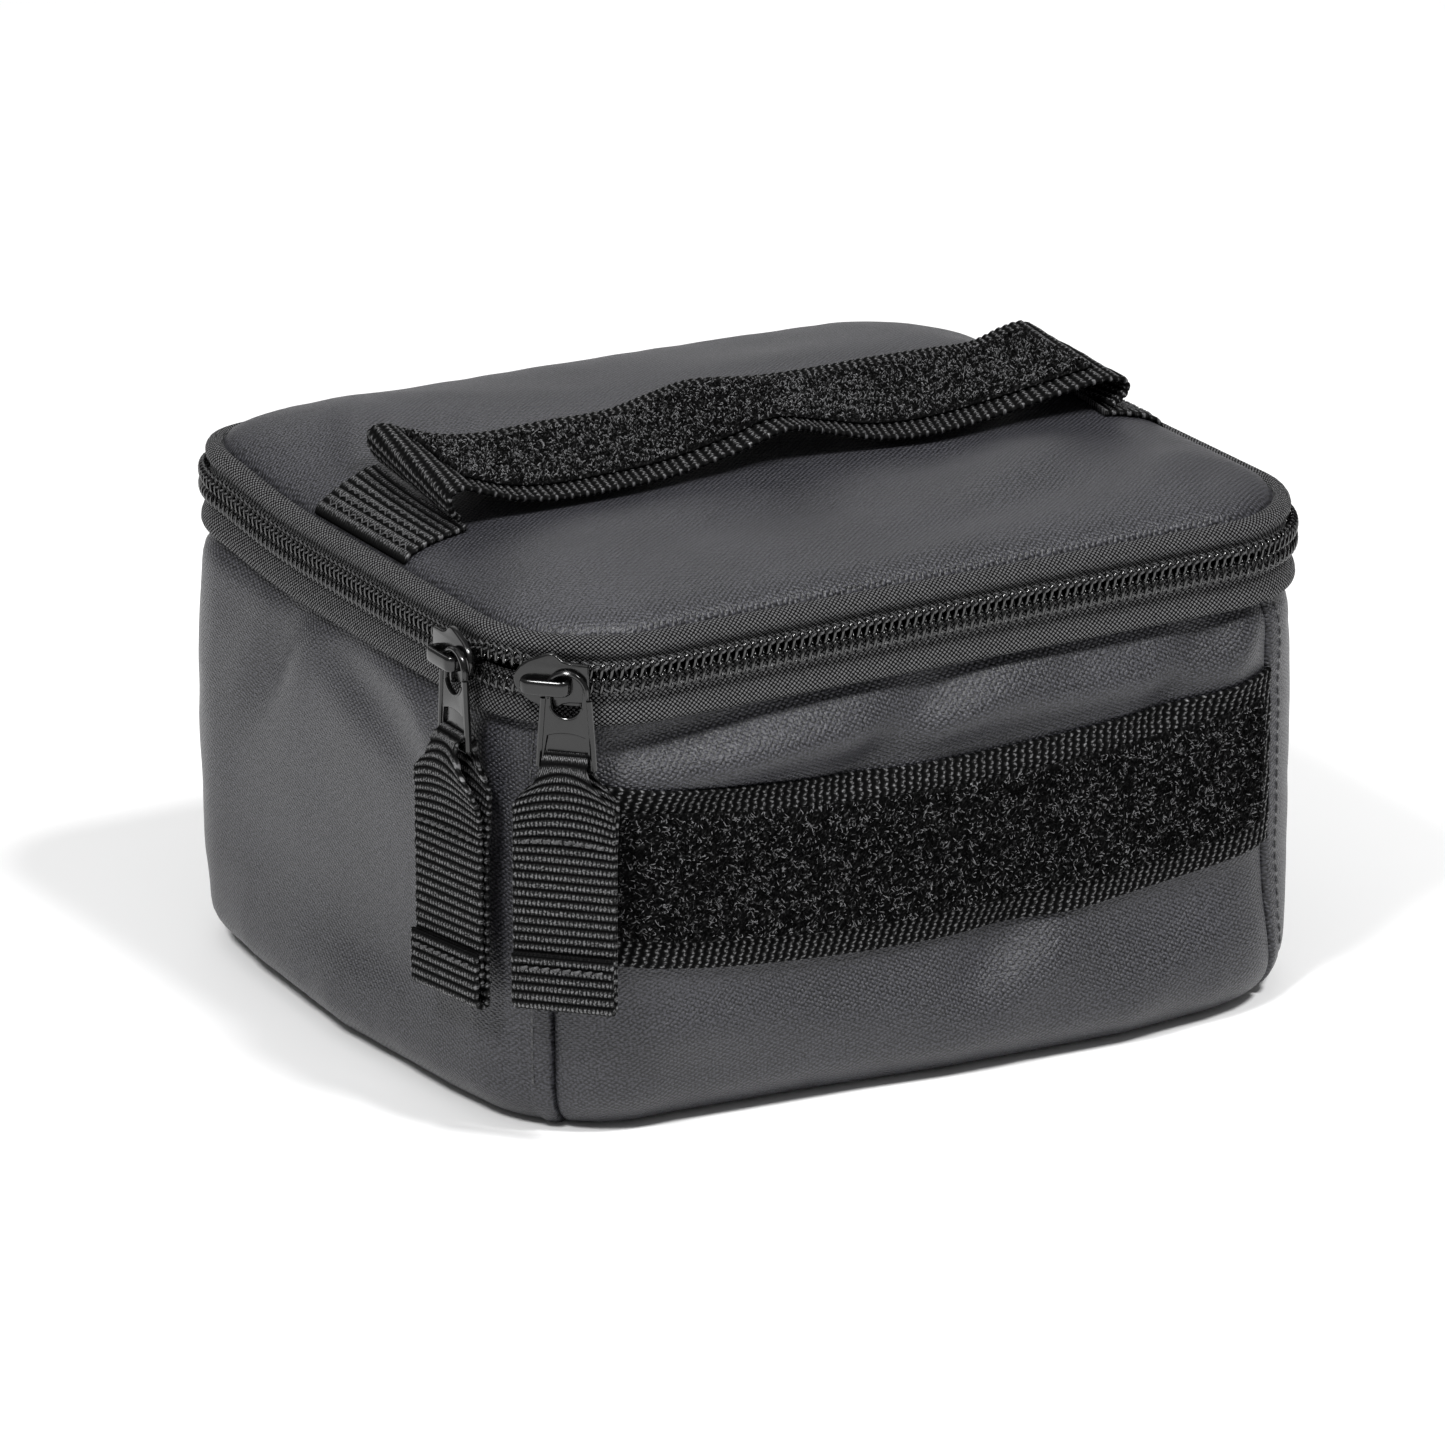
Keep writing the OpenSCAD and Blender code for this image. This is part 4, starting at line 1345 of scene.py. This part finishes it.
def make_slider(side, nose, at):
    """Leaf-shaped slider with its crown, inner plate, post and lower flange; nose is the way it points."""
    leaf = [(-8.6, 0), (-8.2, 1.6), (-7.2, 3.1), (-5.2, 4.6), (-2.6, 5.7), (-0.6, 6.5), (0.6, 6.6),
            (1.6, 5.9), (2.6, 5.0), (4.2, 4.6), (8.3, 4.4), (8.6, 4.0)]
    outline = [(-nose * x, z) for x, z in leaf + [(x, -z) for x, z in leaf[:0:-1]]]
    crown = [(-5.9, 4.3), (-5.9, 6.3), (-5.5, 7.2), (-4.2, 7.7), (2.4, 7.7), (3.7, 7.3), (4.2, 6.4),
             (4.2, 4.3)]
    parts = [
        plate([outline], 3.5, 5.0, 0.4, at),
        plate([rectangle(0, 0, 6, 4)], -3.2, -2.2, 0.3, at),
        plate([rectangle(nose * 3.5, 0, 1.5, 0.4)], -2.6, 4.0, 0.1, at),
        plate([rectangle(nose * -2, -5.05, 4.5, 0.55)], 0.6, 4.0, 0.25, at),
        bent_bar(crown, -0.6, 1.75, 1.5, at),
    ]
    obj = join_parts(side + "_slider_body", parts)
    dress(obj, METAL, side + "_slider", "black_metal", side + "_slider")


def make_pull(side, at):
    """Cast pull: a round eye, raised wire-like edges, an arched recess and the slot for the tab."""
    def both_sides(points):
        """The points, each a distance from the middle and a height, and then their mirror image."""
        return [(EYE_S + x, z) for x, z in points] + [(EYE_S - x, z) for x, z in points[::-1]]

    foot = [(-6.65, PULL_END_Z + 1.2), (-6.3, PULL_END_Z + 0.2), (-5.6, PULL_END_Z)]
    outer = arc_points(EYE_S, EYE_Z, EYE_R + 1.15, -8, 188, 30) + both_sides(foot)
    low_z = EYE_Z - 2.2
    eye = arc_points(EYE_S, EYE_Z, EYE_R, 20, 160, 22) + arc_points(EYE_S, low_z, EYE_R - 0.45, 190, 350, 22)
    slot_top = PULL_END_Z + 6.5
    arch_z = slot_top - 9.2
    arch = both_sides([(-5.0, PULL_END_Z + 2.5)]) + [(EYE_S + 4.7, slot_top + 1.5)]
    arch += arc_points(EYE_S, arch_z, 11.6, 66, 114, 12) + [(EYE_S - 4.7, slot_top + 1.5)]
    backing = both_sides([(-5.3, slot_top - 2.2)]) + [(EYE_S + 5.1, slot_top + 1.6)]
    backing += arc_points(EYE_S, arch_z, 12.3, 66, 114, 12) + [(EYE_S - 5.1, slot_top + 1.6)]
    front = PULL_N + PULL_T
    leg = [(5.2, -3.2), (5.55, -8), (6.0, -14), (6.3, PULL_END_Z + 0.9)]
    parts = [
        plate([outer, eye, arch], PULL_N, front, 0.28, at),
        plate([backing], PULL_N + 0.15, PULL_N + 0.7, 0.1, at),
        wire(arc_points(EYE_S, EYE_Z, EYE_R + 0.55, -20, 200, 36), front - 0.15, 0.5, at),
        wire([(EYE_S - x, z) for x, z in leg], front - 0.2, 0.72, at),
        wire([(EYE_S + x, z) for x, z in leg], front - 0.2, 0.72, at),
        wire(arc_points(EYE_S, low_z, EYE_R - 0.25, 195, 345, 24), front - 0.1, 0.28, at),
    ]
    obj = join_parts(side + "_pull_body", parts)
    dress(obj, METAL, side + "_pull", "black_metal", side + "_pull")


def make_tab(side, at, yaw, splay, shorter, stand):
    """Webbing tab: up the front, round the pull's bar, down the back and folded over at its end."""
    e = TAB_END_Z + shorter
    line = [(0.85, e + 5.5), (0.85, e + 16), (0.9, -42), (1.2 + splay * 0.4, -31), (1.9 + splay, -24),
            (2.5, BAR_Z), (1.75, BAR_Z + 1.75), (0, BAR_Z + 2.5), (-1.75, BAR_Z + 1.75), (-2.5, BAR_Z),
            (-1.7, -24), (-1.2, -31), (-0.9, -42), (-0.85, e + 16), (-0.85, e + 2.2), (0, e + 0.9),
            (1.6, e + 1.1), (2.35, e + 3), (2.35, e + 7), (2.3, e + 13.8)]
    path, length = line_path([(z, n) for n, z in line])

    def place(l, across, lift):
        (z, n), (nz, nn) = path(l)
        z, n = z - nz * lift, n - nn * lift
        low = smoothstep((-17.2 - z) / 8.5)
        edge = (across / TAB_HALF) ** 2
        wide = across * (0.44 + 0.56 * low)
        z = z - 2.6 * edge * smoothstep((-17 - z) / 4) * smoothstep((z + 44) / 22)
        n = n + 0.8 * edge * (1 - low) * smoothstep((-16 - z) / 3)
        n = n + stand * smoothstep((-20 - z) / 24)
        turn = math.radians(yaw) * smoothstep((-20 - z) / 16)
        s_out = wide * np.cos(turn) - n * np.sin(turn)
        n_out = n * np.cos(turn) + wide * np.sin(turn)
        return at(EYE_S + s_out, BAR_N + n_out, z)

    strip = ribbon(side + "_tab_webbing", place, np.arange(0, length, RIB / 7),
                   np.linspace(-TAB_HALF, TAB_HALF, 90), 1.15, rib_relief(0.6))
    dress(strip, WEBBING, side + "_strap", "webbing", side + "_strap")
    reach = np.linspace(0, length, 4000)
    (z_line, n_line), _ = path(reach)
    outward = at(0, 1, 0) - at(0, 0, 0)
    x = np.arange(-8.6, 8.7, 2.45)
    rows = []
    for above, least_n in ((40.3, 0.5), (10.8, 2.0)):
        best = reach[np.argmin(np.abs(z_line - e - above) + 100 * (n_line < least_n))]
        rows.append((place(best - 0.25, x - 0.9, -0.95), place(best + 0.25, x + 0.9, -0.95), outward))
    dress(threads(side + "_tab_stitches", rows, 0.42, 0.45), THREAD, side + "_strap", "thread")


for side, nose, at in (("left", 1, left_at), ("right", -1, right_at)):
    make_slider(side, nose, at)
for side, at in (("left", left_at), ("right", right_at)):
    make_pull(side, at)
make_tab("left", left_at, yaw=-10, splay=1.4, shorter=-1.6, stand=1.5)
make_tab("right", right_at, yaw=0, splay=0.6, shorter=1.4, stand=2.2)


# ---- CAD nodes that stay ----

for node, material in (("base_foam", FOAM), ("base_board", BOARD)):
    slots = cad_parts[node].data.materials
    slots.clear()
    slots.append(material)


# ---- Floor, light and camera ----

def make_floor():
    """Plain pale floor, 12 m wide."""
    f = Finish("floor")
    f.colour(f.noise(900), (0.93, 0.93, 0.93), (0.95, 0.95, 0.95))
    f.set(Roughness=0.9, Specular_IOR_Level=0.1)
    corners = [(x, y, 0) for x, y in rectangle(0, 0, 6000, 6000)]
    floor = mesh_object("floor", corners, [[0, 1, 2, 3]])
    floor.data.materials.append(f.material)


def area_light(name, place, size, power):
    """Round soft light that faces the middle of the object."""
    data = bpy.data.lights.new(name, "AREA")
    data.shape = "DISK"
    data.size = size
    data.energy = power
    light = bpy.data.objects.new(name, data)
    light.location = place
    light.rotation_mode = "QUATERNION"
    light.rotation_quaternion = (Vector((0, 0, 0.06)) - Vector(place)).to_track_quat("-Z", "Y")
    bpy.context.scene.collection.objects.link(light)


def make_world():
    """Even white surroundings, with colours shown as they are."""
    world = bpy.data.worlds.new("studio")
    world.use_nodes = True
    background = world.node_tree.nodes["Background"]
    background.inputs[0].default_value = (1, 1, 1, 1)
    background.inputs[1].default_value = 0.21
    bpy.context.scene.world = world
    bpy.context.scene.view_settings.view_transform = "Standard"


def make_camera():
    """The view of the object: azimuth and elevation, distance, lens and the point it looks at."""
    azimuth, elevation, distance, lens = -30.18, 19.43, 2.2, 233.2
    aim_right, aim_up = -0.00516, 0.05309
    a, e = math.radians(azimuth), math.radians(elevation)
    back = Vector((math.sin(a) * math.cos(e), -math.cos(a) * math.cos(e), math.sin(e)))
    right = Vector((math.cos(a), math.sin(a), 0))
    up = back.cross(right)
    data = bpy.data.cameras.new("camera")
    data.lens = lens
    data.sensor_width = 36
    data.clip_end = 50
    camera = bpy.data.objects.new("camera", data)
    camera.rotation_mode = "QUATERNION"
    camera.rotation_quaternion = Matrix((right, up, back)).transposed().to_quaternion()
    camera.location = back * distance + right * aim_right + up * aim_up
    bpy.context.scene.collection.objects.link(camera)
    bpy.context.scene.camera = camera


make_floor()
make_world()
area_light("overhead", (-0.5, 0.1, 2.4), 2.2, 12)
area_light("left_key", (-1.4, -0.7, 1.9), 0.5, 39)
area_light("front_key", (0.4, -1.2, 2.2), 0.5, 46)
area_light("back_glow", (1.0, 2.1, 1.5), 1.8, 7)
make_camera()
